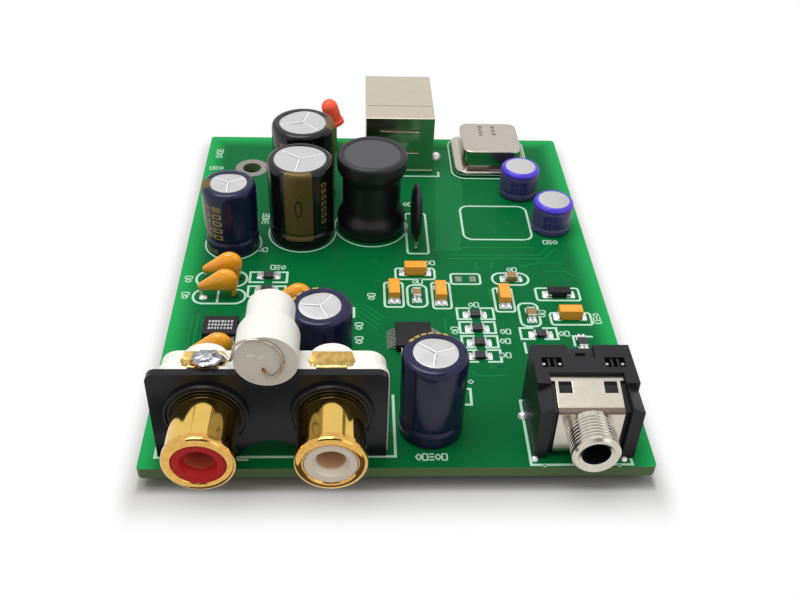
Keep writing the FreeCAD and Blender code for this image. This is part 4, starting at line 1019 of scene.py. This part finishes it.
def jack():
    """Threaded collar, folded sheet and moulded body of the headphone jack."""
    node = "jack_collar"
    low, high = box_mm(node)
    centre = ((low.x + high.x) / 2, (low.z + high.z) / 2)
    radius = (high.x - low.x) / 2
    mouth = low.y + MOUTH_DEPTH
    profile = [(BORE_RADIUS, high.y), (BORE_RADIUS, mouth), (MOUTH_RADIUS, low.y),
               (radius - COLLAR_EDGE, low.y), (radius, low.y + COLLAR_EDGE)]
    count = int((high.y - low.y - THREAD_START - THREAD_END) / THREAD_PITCH)
    crests = [low.y + THREAD_START + THREAD_PITCH * step for step in range(count + 1)]
    grooves = [(radius - THREAD_DEPTH, crest + (THREAD_FLAT + THREAD_PITCH) / 2) for crest in crests[:-1]]
    for crest, groove in zip(crests, grooves):
        profile += [(radius, crest), (radius, crest + THREAD_FLAT), groove]
    profile += [(radius, crests[-1]), (radius, high.y)]
    # Thin black sheet inside the collar's metal bore: painted shade of the deep hole.
    inside = BORE_RADIUS - SEAT_GAP
    lining = ring_side(inside - BORE_SHADE_SHEET, inside, mouth, high.y)

    def roots(work):
        for groove in grooves:
            lathe(work, circle(*groove, ROOT_ROUND, 6), centre, "y")

    jack_top(high.y + BLADE_REACH)
    stand_in(node, "_threaded", lathed(profile, centre, "y"), smooth=25.0)
    piece("jack_thread_roots", roots, node, "thread_shade")
    piece("jack_bore_painted_shade", lathed(lining, centre, "y", 48), "jack_black")
    lumps = [((x - size, y - size, 0), (x + size, y + size, size)) for x, y, size in JACK_SOLDER]
    solder_piece("jack_solder", *lumps, around=16, rings=5)
    for case, width in JACK_EDGES.items():
        softened(case, width)
    jack_fold_painted_reflection()


# Lamp, drops and fuse, in mm and degrees
LAMP_LEAN = -17.0
LAMP_RADIUS = 1.5
LAMP_FLANGE = (1.7, 0.8)
LAMP_EDGE = 0.1
LAMP_STRAIGHT = 2.7
LAMP_BASE = (23.3, 79.0, 4.75)
DROP_FLAT = 0.64
DROP_BULB = (1.3, 3.05, 1.9)
DROP_TAIL = (-2.25, 1.9, 0.7)
DROP_LEG = (2.3, 0.5, 1.9)
DROP_LEG_FOOT = 0.3
DROP_LEG_SIDE = ((0.7, 0.0), (0.8, 0.5), (1.3, 1.0))
DROP_STEPS = (6, 12, 40)
DROP_SOLDER = ((3.5, 33.0, 0.0), (4.9, 34.1, 0.4))
FUSE_SIDE = ((0.5, 1.0), (0.78, 0.8), (0.92, 0.5), (1.0, 0.15))
FUSE_ROUND = 0.3


def lamp():
    """Round lamp that leans over on its two leads."""
    x, y, z = LAMP_BASE
    flange, thick = LAMP_FLANGE
    top = z + thick
    spring = top + LAMP_STRAIGHT
    dome = [(LAMP_RADIUS * math.cos(turn), spring + LAMP_RADIUS * math.sin(turn)) for turn in turns(0, 80, 8)]
    foot = [(0, z), (flange, z), (flange, top - LAMP_EDGE), (flange - LAMP_EDGE, top), (LAMP_RADIUS, top)]

    def leaning(work):
        lathe(work, foot + dome + [(0, spring + LAMP_RADIUS)], (x, y), count=48)
        turn = Matrix.Rotation(math.radians(LAMP_LEAN), 3, "Y")
        bmesh.ops.rotate(work, cent=at(x, y, z), matrix=turn, verts=work.verts)

    stand_in("lamp_body", "_round", leaning)


def drop(node):
    """Smooth dipped drop, thick at one end and drawn out at the other, flattened from front to back."""
    tail_x, tail_z, tail_r = DROP_TAIL
    bulb_x, bulb_z, bulb_r = DROP_BULB
    tail_steps, bulb_steps, count = DROP_STEPS
    start = Vector((box_mm(node)[0].x + tail_r, middle_mm(node).y, tail_z))
    reach = Vector((bulb_x - tail_x, 0, bulb_z - tail_z))
    along = reach.normalized()
    across = Vector((-along.z, 0, along.x))
    meet = math.pi / 2 + math.asin((bulb_r - tail_r) / reach.length)
    tail_turns = [math.pi - (math.pi - meet) * step / tail_steps for step in range(1, tail_steps + 1)]
    bulb_turns = [meet * (1 - step / bulb_steps) for step in range(bulb_steps)]
    stations = [(tail_r * math.cos(turn), tail_r * math.sin(turn)) for turn in tail_turns]
    stations += [(reach.length + bulb_r * math.cos(turn), bulb_r * math.sin(turn)) for turn in bulb_turns]

    def ring(place, radius):
        return [start + along * place + across * radius * math.cos(turn)
                + Vector((0, radius * DROP_FLAT * math.sin(turn), 0)) for turn in full_turn(count)]

    rows = [[start - along * tail_r]] + [ring(*station) for station in stations]
    rows.append([start + along * (reach.length + bulb_r)])
    side, radius, top = DROP_LEG
    leg = [(radius * wide, max(DROP_LEG_FOOT, top * rise)) for wide, rise in DROP_LEG_SIDE]
    leg = [(0, DROP_LEG_FOOT)] + leg + [(0, top)]
    stand_in(node, "_drop", lambda work: loft(work, rows), smooth=MOLTEN)
    piece(node + "_leg", lathed(leg, (start.x - tail_x + side, start.y), count=24), node, smooth=MOLTEN)


def fuse():
    """Disc on its edge, thick in the middle and thin at its rim."""
    node = "fuse_body"
    low, high = box_mm(node)
    middle, half = (low + high) / 2, (high - low) / 2
    left = [(half.z * share, middle.x - half.x * thick) for share, thick in FUSE_SIDE]
    right = [(half.z * share, middle.x + half.x * thick) for share, thick in reversed(FUSE_SIDE)]
    profile = rounded([(0, low.x)] + left + right + [(0, high.x)], FUSE_ROUND)
    stand_in(node, "_round", lathed(profile, (middle.y, middle.z), "x"), smooth=MOLTEN)


def dipped_parts():
    """Lamp, drops and the round fuse."""
    lamp()
    for place in ("rear", "middle", "front", "right"):
        drop("dipped_capacitor_" + place)
    fuse()
    solder_piece("drop_pad_solder", DROP_SOLDER)


# Metal cases and small parts: rounding of their edges, in mm
EDGE_OF = {
    "usb_shell": 0.22, "usb_insulator": 0.1, "clock_can": 0.25, "tantalum_blocks": 0.12,
    "ceramic_chips": 0.1, "resistor_chips": 0.05, "diode_body": 0.05, "amplifier_chip": 0.08,
    "converter_chip": 0.08, "chip_ends": 0.06, "chip_leads": 0.03, "capacitor_leads": 0.15,
    "choke_leads": 0.15, "fuse_leads": 0.15, "dipped_capacitor_leads": 0.12, "lamp_leads": 0.12,
    "clock_pins": 0.12,
}
BODIES = ("tantalum_blocks", "ceramic_chips", "resistor_chips", "diode_body", "amplifier_chip",
          "converter_chip")
TAILS = ("capacitor_leads", "choke_leads", "fuse_leads", "dipped_capacitor_leads", "lamp_leads", "clock_pins",
         "jack_contacts", "usb_contacts", "usb_shell")
PAD_THICK = 0.045
END_PAD = (0.08, 0.6)
LEAD_PAD = (0.0, 0.2)
FILLET_OUT = 0.75
FILLET_LOW = 0.07
FILLET_CLIMB = 0.95
FILLET_SUNK = 0.1
FILLET_DROP = 1.5
FILLET_TAPER = 0.25
FILLET_STEPS = 6
BEAD_REACH = 0.55
BEAD_SHARE = 0.52
BEAD_OUT = 0.25
BEAD_RISE = 0.55
CONE_RADIUS = 0.95
CONE_HEIGHT = 0.9
CONE_SIDE = ((1.0, 0.0), (0.6, 0.4), (0.4, 1.0))
TAIL_BELOW = -0.5

# Print on the chip and clock tops, in mm: rows and columns of small bars inside a box from the top's middle
CHIP_ROWS = (((-1.7, -1.0, 1.9, 1.2), 3, 8),)
CLOCK_ROWS = (((-1.9, 0.6, -0.7, 4.6), 4, 1), ((0.5, 0.8, 1.5, 4.6), 3, 1), ((2.6, -2.6, 3.0, -2.2), 1, 1))
BAR_THICK = 0.015
BAR_LENGTHS = (0.5, 0.8)
BAR_DEPTH = 0.6

# Clock base and seams of the USB shell, in mm
BASE_CORNER = 2.0
BASE_ROUND = 0.4
BASE_FOOT = (0.1, 0.2)
BASE_SLOPE = 0.3
SEAM_FROM_FRONT = 4.6
SEAM_WIDTH = 0.14
SEAM_INSET = 0.3
SEAM_HEIGHTS = (-0.05, 0.01)
SLIT_HALF = 3.38
SLIT_HEIGHTS = (4.36, 8.57)
SLIT_RISE = 0.3
SLIT_DEPTHS = (0.06, 0.3)
LEG_SOLDER = ((40.85, 74.1, 0.0), (42.9, 76.0, 1.2))


def outward(box, bodies):
    """Unit direction along x or y from the nearest body to a small metal end."""
    middle = (box[0] + box[1]) / 2
    near = min(bodies, key=lambda body: (((body[0] + body[1]) / 2 - middle).xy).length)
    step = (middle - (near[0] + near[1]) / 2).xy
    spans = (near[1] - near[0]).xy
    if abs(step.x) / spans.x > abs(step.y) / spans.y:
        return Vector((math.copysign(1, step.x), 0))
    return Vector((0, math.copysign(1, step.y)))


def pad(work, box, way, grow, reach):
    """Tinned pad under a metal end that reaches out past it."""
    first, last = box[0].xy - Vector((grow, grow)), box[1].xy + Vector((grow, grow))
    first += Vector((min(0, way.x), min(0, way.y))) * reach
    last += Vector((max(0, way.x), max(0, way.y))) * reach
    block(work, (*first, 0), (*last, PAD_THICK))


def fillet(work, foot, way, side, height):
    """Slope of solder from the outer face of a metal end down to its pad."""
    rows = []
    for step in range(FILLET_STEPS + 1):
        share = step / FILLET_STEPS
        place = foot + way * FILLET_OUT * (share * (1 + FILLET_SUNK) - FILLET_SUNK)
        rise = FILLET_LOW + (height * FILLET_CLIMB - FILLET_LOW) * (1 - share) ** FILLET_DROP
        wide = side * (1 - FILLET_TAPER * share ** 2)
        rows.append([(*(place + wide * math.cos(turn)), rise * math.sin(turn)) for turn in turns(0, 180, 9)])
    loft(work, rows)


def beads(work, box, way):
    """Solder on the outer face of a metal end: two beads at the front or back, else one sloping fillet."""
    low, high = box
    side = Vector((-way.y, way.x))
    half_side = abs((high - low).xy.dot(side)) / 2
    foot = ((low + high) / 2).xy + way * abs((high - low).xy.dot(way)) / 2
    if way.x:
        fillet(work, foot, way, side * half_side, high.z)
        return
    reach = Vector((half_side * BEAD_SHARE, BEAD_REACH))
    for share in (-0.5, 0.5):
        place = foot + way * BEAD_OUT + side * half_side * share
        lump(work, (*(place - reach), 0), (*(place + reach), BEAD_RISE), 16, 5, 0.1)


def top_print(name, node, tables, material):
    """Rows of thin bars on a flat top, inside boxes about its middle."""
    low, high = box_mm(node)
    middle, top = (low + high) / 2, high.z

    def bars(work):
        for (x0, y0, x1, y1), rows, columns in tables:
            wide, deep = (x1 - x0) / columns, (y1 - y0) / rows
            for row in range(rows):
                for column in range(columns):
                    x, y = middle.x + x0 + wide * column, middle.y + y0 + deep * row
                    end = x + wide * random.uniform(*BAR_LENGTHS)
                    block(work, (x, y, top), (end, y + deep * BAR_DEPTH, top + BAR_THICK))

    piece(name, bars, node, material)


def clock():
    """Base plate with round corners and a rounded rim, and the print on the can."""
    node = "clock_base"
    low, high = box_mm(node)
    inset, rise = BASE_FOOT
    slope = BASE_ROUND * BASE_SLOPE
    levels = ((inset, low.z), (0, low.z + rise), (0, high.z - BASE_ROUND),
              (slope, high.z - slope), (BASE_ROUND, high.z))
    rows = [[(x, y, level) for x, y in grown_box(low, high, -inward, BASE_CORNER)]
            for inward, level in levels]
    stand_in(node, "_round", lambda work: loft(work, rows))
    top_print("clock_print", "clock_can", CLOCK_ROWS, "dark_print")


def usb_details():
    """Seam across the shell's top, dull fill in its two slits and the solder at its right leg."""
    low, high = box_mm("usb_shell")
    middle = (low.x + high.x) / 2
    seam_y = low.y + SEAM_FROM_FRONT
    seam_low, seam_high = (high.z + rise for rise in SEAM_HEIGHTS)
    near, far = (low.y + depth for depth in SLIT_DEPTHS)

    def seam(work):
        block(work, (low.x + SEAM_INSET, seam_y, seam_low),
              (high.x - SEAM_INSET, seam_y + SEAM_WIDTH, seam_high))

    def slits(work):
        for level in SLIT_HEIGHTS:
            block(work, (middle - SLIT_HALF, near, level - SLIT_RISE / 2),
                  (middle + SLIT_HALF, far, level + SLIT_RISE / 2))

    piece("usb_seam", seam, "usb_metal", "dark_print")
    piece("usb_slits", slits, "usb_plastic", "slit_brown")
    solder_piece("usb_leg_solder", LEG_SOLDER)


def small_parts():
    """Softened cases and chips, their print, and the solder that holds the small ones."""
    for node, width in EDGE_OF.items():
        softened(node, width)
    bodies = [box for node in BODIES for box in solid_boxes(node)]

    def joints(work):
        for box in solid_boxes("chip_ends"):
            way = outward(box, bodies)
            pad(work, box, way, *END_PAD)
            beads(work, box, way)

    def lead_pads(work):
        for box in solid_boxes("chip_leads"):
            pad(work, box, outward(box, bodies), *LEAD_PAD)

    piece("chip_solder", joints, "solder", "bright_solder", smooth=MOLTEN)
    piece("chip_lead_pads", lead_pads, "tin_plate", "lead_grey", smooth=20.0)
    top_print("amplifier_print", "amplifier_chip", CHIP_ROWS, "chip_print")
    clock()
    usb_details()


def through_solder():
    """Cones of solder on the lower face at every lead that passes through."""
    under = on_board(BOARD_LOW).z
    side = [(CONE_RADIUS * wide, under - CONE_HEIGHT * down) for wide, down in CONE_SIDE]
    profile = [(0, under)] + side + [(0, under - CONE_HEIGHT)]

    def cones(work):
        for node in TAILS:
            for low, high in solid_boxes(node):
                if low.z <= under + TAIL_BELOW:
                    lathe(work, profile, ((low + high) / 2).xy, count=24)

    piece("underside_solder", cones, "solder", smooth=50.0)


# White print on the board, in mm: boxes from corner to corner, some with round corners or a gap at the front
BOXES = (
    (33.25, 38.31, 39.37, 41.13), (31.4, 31.53, 34.25, 37.45), (38.7, 31.19, 41.47, 37.5),
    (48.12, 30.48, 50.98, 36.17), (56.06, 27.5, 62.13, 30.24), (41.85, 37.15, 46.42, 39.76),
    (54.71, 33.2, 61.39, 36.21), (35.4, 45.07, 38.8, 56.5),
)
GAP_BOXES = (
    (42.15, 28.73, 47.6, 31.3), (42.29, 25.59, 47.48, 28.09), (42.32, 22.46, 47.51, 24.94),
    (42.4, 19.43, 47.6, 21.91), (51.08, 24.28, 56.47, 26.74), (10.74, 37.4, 16.42, 39.95),
    (10.71, 33.9, 16.3, 36.42),
)
BOX_GAP = 1.3
BOX_CORNER = 0.45
ROUND_BOXES = (
    (34.9, 31.54, 37.85, 36.87, 1.0), (48.34, 37.0, 54.03, 40.0, 1.4), (51.5, 27.11, 54.43, 32.5, 1.0),
    (44.9, 49.1, 56.3, 59.0, 1.5), (2.6, 36.3, 10.3, 40.1, 1.8), (2.6, 32.2, 10.4, 35.6, 1.6),
)
LINES = (
    [(2.0, 12.9), (2.0, 1.9), (32.0, 1.9), (32.0, 12.9)],
    [(12.1, 1.45), (13.6, 1.45)],
    [(49.95, 11.8), (49.15, 11.75), (49.05, 0.38), (61.95, 0.38), (61.9, 1.35)],
    [(50.68, 0.38), (50.68, 0.02)],
    [(60.21, 0.38), (60.21, 0.02)],
    [(35.5, 68.6), (42.0, 68.6), (42.0, 70.2)],
    [(51.35, 23.57), (51.35, 21.17)],
    [(58.65, 22.72), (58.7, 24.95), (61.6, 24.85)],
    [(26.76, 31.45), (26.76, 29.0)],
    [(41.6, 14.0), (42.6, 14.0), (42.5, 11.0), (41.4, 11.0)],
    [(42.4, 15.4), (43.2, 15.4)],
    [(42.8, 15.0), (42.8, 15.8)],
    [(6.3, 32.3), (6.3, 35.5)],
)
RINGED = ("navy_capacitor_left", "black_capacitor_front")
RING_GROW = 0.25
RING_WIDTH = 0.24
CHOKE_RING = 6.0
CLOCK_GROW = 0.45

# Short generic marks: place, turn in degrees and how many
MARKS = (
    (36.55, 1.78, 0, 5), (48.9, 25.95, 0, 2), (48.6, 23.84, 0, 2), (48.3, 20.83, 0, 2), (41.5, 26.2, 90, 2),
    (44.8, 32.1, 0, 2), (36.6, 37.7, 0, 2), (51.7, 40.9, 0, 2), (54.9, 30.05, 90, 2), (57.5, 25.5, 0, 2),
    (63.0, 28.97, 90, 3), (38.8, 42.6, 0, 2), (14.9, 41.2, 0, 3), (1.4, 38.1, 90, 2), (1.4, 34.1, 90, 2),
    (12.0, 54.7, 90, 4), (12.15, 45.9, 0, 2), (2.1, 75.8, 90, 4), (2.1, 70.7, 0, 3), (29.4, 34.0, 90, 2),
    (27.5, 27.1, 90, 2), (27.5, 24.0, 90, 2), (36.0, 59.4, 0, 2), (59.07, 48.45, 0, 3),
)
MARK_HEIGHT = 1.05
MARK_PITCH = 0.82
MARK_WIDTH = 0.2

# Strokes of the plain signs, in shares of their height: a hollow box, a stack of bars and a diamond
SIGNS = (
    ((-0.3, -0.5, 0.3, -0.5), (0.3, -0.5, 0.3, 0.5), (0.3, 0.5, -0.3, 0.5), (-0.3, 0.5, -0.3, -0.5)),
    ((-0.3, -0.45, 0.3, -0.45), (-0.3, 0, 0.3, 0), (-0.3, 0.45, 0.3, 0.45)),
    ((0, -0.5, 0.35, 0), (0.35, 0, 0, 0.5), (0, 0.5, -0.35, 0), (-0.35, 0, 0, -0.5)),
)

# Copper under the mask, in mm: wide fields, narrow lines and drilled joints
POURS = (
    [(39.9, 45.9), (44.0, 45.9), (45.6, 58.8), (46.0, 65.0), (46.0, 78.0), (41.5, 78.0), (41.2, 66.0)],
)
TRACES = (
    [(41.8, 44.8), (56.6, 44.8), (58.8, 47.4)],
    [(41.8, 43.8), (57.2, 43.8), (59.6, 46.6)],
    [(46.2, 40.8), (46.2, 42.9)],
    [(26.2, 32.0), (28.4, 32.0), (31.4, 28.9)],
    [(26.2, 31.2), (28.0, 31.2), (31.0, 28.1)],
    [(26.2, 30.4), (27.6, 30.4), (30.6, 27.3)],
    [(26.2, 29.6), (27.2, 29.6), (30.2, 26.5)],
    [(40.4, 48.9), (40.4, 46.5)],
    [(41.4, 45.9), (43.5, 45.9), (44.6, 46.9), (56.2, 46.9)],
    [(48.6, 43.1), (48.6, 41.2)],
    [(47.6, 36.0), (47.6, 33.4), (50.0, 32.0)],
    [(40.2, 29.0), (40.2, 26.2), (42.0, 25.0)],
    [(3.2, 29.5), (3.2, 22.0), (5.0, 20.2)],
    [(4.0, 29.5), (4.0, 22.6), (6.0, 20.6)],
    [(56.6, 40.6), (60.2, 40.6), (62.2, 38.6), (62.2, 33.0)],
    [(36.0, 20.0), (36.0, 14.0), (38.6, 11.4)],
    [(48.0, 16.6), (44.0, 16.6), (42.0, 18.4)],
    [(39.6, 24.6), (41.4, 24.6), (42.8, 23.6)],
    [(39.6, 22.6), (41.2, 22.6), (42.8, 20.8)],
    [(53.0, 41.6), (56.3, 42.8), (60.0, 42.8)],
    [(10.6, 30.0), (10.6, 26.0), (13.5, 23.4)],
)
TRACE_WIDTH = 0.3
TRACE_THICK = 0.02
VIAS = (
    (42.5, 57.8), (44.7, 60.0), (50.4, 51.4), (52.7, 54.0), (45.9, 48.4), (55.3, 48.7), (39.9, 45.9),
    (42.3, 50.0), (46.2, 18.4), (56.3, 42.8), (50.1, 44.5), (30.1, 42.9), (30.2, 37.8),
)
VIA_RADII = (0.2, 0.42)
VIA_TOP = TRACE_THICK + 0.006
MOUNT_HOLE = (8.4, 70.85)
HOLE_RING = (1.62, 2.9)
EMPTY_PADS = ((43.04, 38.42), (45.25, 38.44))
EMPTY_PAD_HALF = (0.5, 0.65)


def round_box(x0, y0, x1, y1, radius):
    """Outline of a box with round corners."""
    corners = ((x1 - radius, y0 + radius, -90), (x1 - radius, y1 - radius, 0), (x0 + radius, y1 - radius, 90),
               (x0 + radius, y0 + radius, 180))
    return [(x + radius * math.cos(turn), y + radius * math.sin(turn))
            for x, y, start in corners for turn in turns(start, start + 90, 6)]


def grown_box(low, high, grow, radius):
    """Outline with round corners about a box, grown or shrunk."""
    return round_box(low.x - grow, low.y - grow, high.x + grow, high.y + grow, radius + grow)


def gap_box(x0, y0, x1, y1):
    """Two brackets of a box that is open in the middle of its long sides."""
    middle = (x0 + x1) / 2
    return [[(gap, y0), (x, y0), (x, y1), (gap, y1)]
            for x, gap in ((x0, middle - BOX_GAP / 2), (x1, middle + BOX_GAP / 2))]


def marks(work, x, y, turn, count):
    """Row of plain signs made of strokes."""
    turn = math.radians(turn)
    along, up = Vector((math.cos(turn), math.sin(turn))), Vector((-math.sin(turn), math.cos(turn)))
    for step in range(count):
        middle = Vector((x, y)) + along * MARK_PITCH * (step - (count - 1) / 2)
        for x0, y0, x1, y1 in SIGNS[(step + count) % len(SIGNS)]:
            ends = [middle + (along * a + up * b) * MARK_HEIGHT for a, b in ((x0, y0), (x1, y1))]
            line(work, ends, MARK_WIDTH)


def print_on_board():
    """All white lines and marks on the upper face."""
    outlines = [round_box(*sizes, BOX_CORNER) for sizes in BOXES]
    outlines += [round_box(*sizes) for sizes in ROUND_BOXES]
    strokes = [bracket for sizes in GAP_BOXES for bracket in gap_box(*sizes)] + list(LINES)
    rings = []
    for node in RINGED:
        centre, radius, _, _ = round_size(node)
        rings.append(circle(*centre, radius + RING_GROW, 48))
    rings.append(circle(*middle_mm("choke_body").xy, CHOKE_RING, 64))
    rings.append(grown_box(*box_mm("clock_base"), CLOCK_GROW, BASE_CORNER))

    def inked(work):
        for points in outlines:
            line(work, points, INK_WIDTH, closed=True)
        for points in strokes:
            line(work, points, INK_WIDTH)
        for points in rings:
            line(work, points, RING_WIDTH, closed=True)
        for place in MARKS:
            marks(work, *place)

    piece("board_print", inked, "board_green", "ink")


def copper_under_mask():
    """Fields, lines and drilled joints that show through the mask, and the bare tinned places."""
    def fields(work):
        for outline in POURS:
            slab(work, outline, 0, TRACE_THICK / 2)

    def lines(work):
        for points in TRACES:
            line(work, points, TRACE_WIDTH, thick=TRACE_THICK)
        for place in VIAS:
            lathe(work, ring_side(*VIA_RADII, 0, VIA_TOP), place, count=20)

    def drilled(work):
        for place in VIAS:
            slab(work, circle(*place, VIA_RADII[0], 12), 0, VIA_TOP)

    def tinned(work):
        lathe(work, ring_side(*HOLE_RING, 0, PAD_THICK), MOUNT_HOLE, count=48)
        half_x, half_y = EMPTY_PAD_HALF
        for x, y in EMPTY_PADS:
            block(work, (x - half_x, y - half_y, 0), (x + half_x, y + half_y, PAD_THICK))

    piece("board_fields", fields, "board_green", "pour_green")
    piece("board_lines", lines, "board_green", "trace_green")
    piece("board_joints", drilled, "board_green", "dark_hole")
    piece("board_tinned", tinned, "board_green", "lead_grey")


# Stage, in metres and watts; a card has its turn from the back and rise in degrees, distance, size, level
FLOOR_HALF = 1.5
FLOOR_CLEAR = 0.0075
FLOOR_SIDES = 2.1
FLOOR_LIFT = 0.32
FLOOR_CONTACT = (0.0002, 0.0015)
FLOOR_LOOKS = {"Base Color": (0.34, 0.335, 0.325, 1.0), "Roughness": 0.7, "Specular IOR Level": 0.1}
KEY = ((-0.10, 0.03, 0.45), 0.30, 1.45)
FILL = ((0.30, -0.25, 0.30), 0.3, 0.18)
CARDS = (
    (182, 57, 0.7, (0.8, 0.45), 0.08), (-30, 22, 0.7, (0.05, 0.5), 0.2), (-16, 20, 0.7, (0.03, 0.16), 0.3),
    (25, 24, 0.7, (0.04, 0.4), 0.25), (36, 20, 0.7, (0.07, 0.5), 0.2), (195, 3, 0.052, (0.04, 0.008), 0.12),
)
SKY_RISE = (-0.05, 0.95)
SKY_STRENGTH = (0.12, 1.0)
SKY_COLOUR = (1.0, 0.985, 0.955, 1.0)
WHITE = (1.0, 1.0, 1.0, 1.0)


def plain_rays(tree):
    """Output that is 1 for what the camera, a reflection or a clear body sees."""
    path = add_node(tree, "LightPath").outputs
    seen = math_node(tree, "MAXIMUM", path["Is Camera Ray"], path["Is Glossy Ray"])
    return math_node(tree, "MAXIMUM", seen, path["Is Transmission Ray"])


def show(tree, target, share, first, second):
    """Show a blend of two shaders."""
    mixed = add_node(tree, "MixShader", {0: share, 1: first, 2: second})
    feed(tree, tree.nodes[target].inputs["Surface"], mixed.outputs["Shader"])


def sheet(name, wide, deep):
    """Flat object of the stage, and the node tree of its material."""
    mesh = bpy.data.meshes.new(name)
    corners = [(-wide, -deep, 0), (wide, -deep, 0), (wide, deep, 0), (-wide, deep, 0)]
    mesh.from_pydata(corners, [], [(0, 1, 2, 3)])
    made = bpy.data.objects.new(name, mesh)
    bpy.context.scene.collection.objects.link(made)
    material, tree = new_material(name)
    mesh.materials.append(material)
    return made, tree


def beyond_board(tree):
    """Distance from the board's outline, which counts for more at its sides."""
    result = add_node(tree, "TexCoord").outputs["Object"]
    steps = (("SUBTRACT", BOARD_MIDDLE), ("ABSOLUTE", Vector()), ("SUBTRACT", BOARD_HALF),
             ("MAXIMUM", Vector()), ("MULTIPLY", Vector((FLOOR_SIDES, 1, 0))))
    for operation, value in steps:
        inputs = {0: result, 1: (value.x, value.y, 0)}
        result = add_node(tree, "VectorMath", inputs, operation=operation).outputs["Vector"]
    return add_node(tree, "VectorMath", {0: result}, operation="LENGTH").outputs["Value"]


def floor():
    """Pale floor that fades to plain white away from the board, as the camera sees it."""
    made, tree = sheet("floor", FLOOR_HALF, FLOOR_HALF)
    shader = tree.nodes["Principled BSDF"]
    for key, value in FLOOR_LOOKS.items():
        feed(tree, shader.inputs[key], value)
    reach = beyond_board(tree)
    lift = ramp(tree, reach, *FLOOR_CONTACT, 0.0, FLOOR_LIFT, "SMOOTHSTEP")
    fade = ramp(tree, reach, 0.0, FLOOR_CLEAR, lift, 1.0, "SMOOTHSTEP")
    white = add_node(tree, "Emission", {"Strength": 1.0})
    share = math_node(tree, "MULTIPLY", fade, plain_rays(tree))
    show(tree, "Material Output", share, shader.outputs["BSDF"], white.outputs["Emission"])


def card(name, turn, rise, distance, size, level):
    """Grey card that only reflections see, facing the board."""
    turn, rise = math.radians(turn), math.radians(rise)
    way = Vector((math.sin(turn) * math.cos(rise), math.cos(turn) * math.cos(rise), math.sin(rise)))
    made, tree = sheet(name, size[0] / 2, size[1] / 2)
    made.location = way * distance
    made.rotation_euler = way.to_track_quat("Z", "Y").to_euler()
    grey = add_node(tree, "Emission", {"Strength": level})
    feed(tree, tree.nodes["Material Output"].inputs["Surface"], grey.outputs["Emission"])
    made.visible_camera = False
    made.visible_diffuse = False
    made.visible_shadow = False


def area_light(name, place, size, power):
    """Square soft light that looks at the board."""
    light = bpy.data.lights.new(name, "AREA")
    light.size = size
    light.energy = power
    made = bpy.data.objects.new(name, light)
    made.location = place
    made.rotation_euler = (-Vector(place)).to_track_quat("-Z", "Y").to_euler()
    bpy.context.scene.collection.objects.link(made)


def daylight():
    """Light that is strong from above and weak from the sides; the camera and reflections see plain white."""
    world = bpy.data.worlds.new("daylight")
    bpy.context.scene.world = world
    world.use_nodes = True
    tree = world.node_tree
    way = split(tree, add_node(tree, "TexCoord").outputs["Generated"])
    sky = tree.nodes["Background"]
    feed(tree, sky.inputs["Color"], SKY_COLOUR)
    feed(tree, sky.inputs["Strength"], ramp(tree, way["Z"], *SKY_RISE, *SKY_STRENGTH, "SMOOTHSTEP"))
    plain = add_node(tree, "Background", {"Color": WHITE})
    show(tree, "World Output", plain_rays(tree), sky.outputs["Background"], plain.outputs["Background"])


def camera():
    """Camera at the photograph's place and angle."""
    yaw, pitch, roll = (math.radians(turn) for turn in (CAMERA_YAW, CAMERA_PITCH, CAMERA_ROLL))
    forward = Vector((math.sin(yaw) * math.cos(pitch), math.cos(yaw) * math.cos(pitch), -math.sin(pitch)))
    level = Vector((math.cos(yaw), -math.sin(yaw), 0))
    rise = level.cross(forward)
    right = level * math.cos(roll) + rise * math.sin(roll)
    up = rise * math.cos(roll) - level * math.sin(roll)
    turn = Matrix((right, up, -forward)).transposed().to_4x4()
    lens = bpy.data.cameras.new("camera")
    lens.sensor_width = SENSOR
    lens.lens = FOCAL_PIXELS * SENSOR / PICTURE[0]
    lens.clip_start = CLIP_START
    made = bpy.data.objects.new("camera", lens)
    made.matrix_world = Matrix.Translation(at(*CAMERA_PLACE)) @ turn
    scene = bpy.context.scene
    scene.collection.objects.link(made)
    scene.camera = made
    scene.render.resolution_x, scene.render.resolution_y = PICTURE
    scene.view_settings.view_transform = "Standard"


paint_nodes()
cans()
phono_sockets()
jack()
dipped_parts()
small_parts()
through_solder()
copper_under_mask()
print_on_board()
floor()
for number, card_sizes in enumerate(CARDS):
    card(f"card_{number}", *card_sizes)
area_light("key", *KEY)
area_light("fill", *FILL)
daylight()
camera()
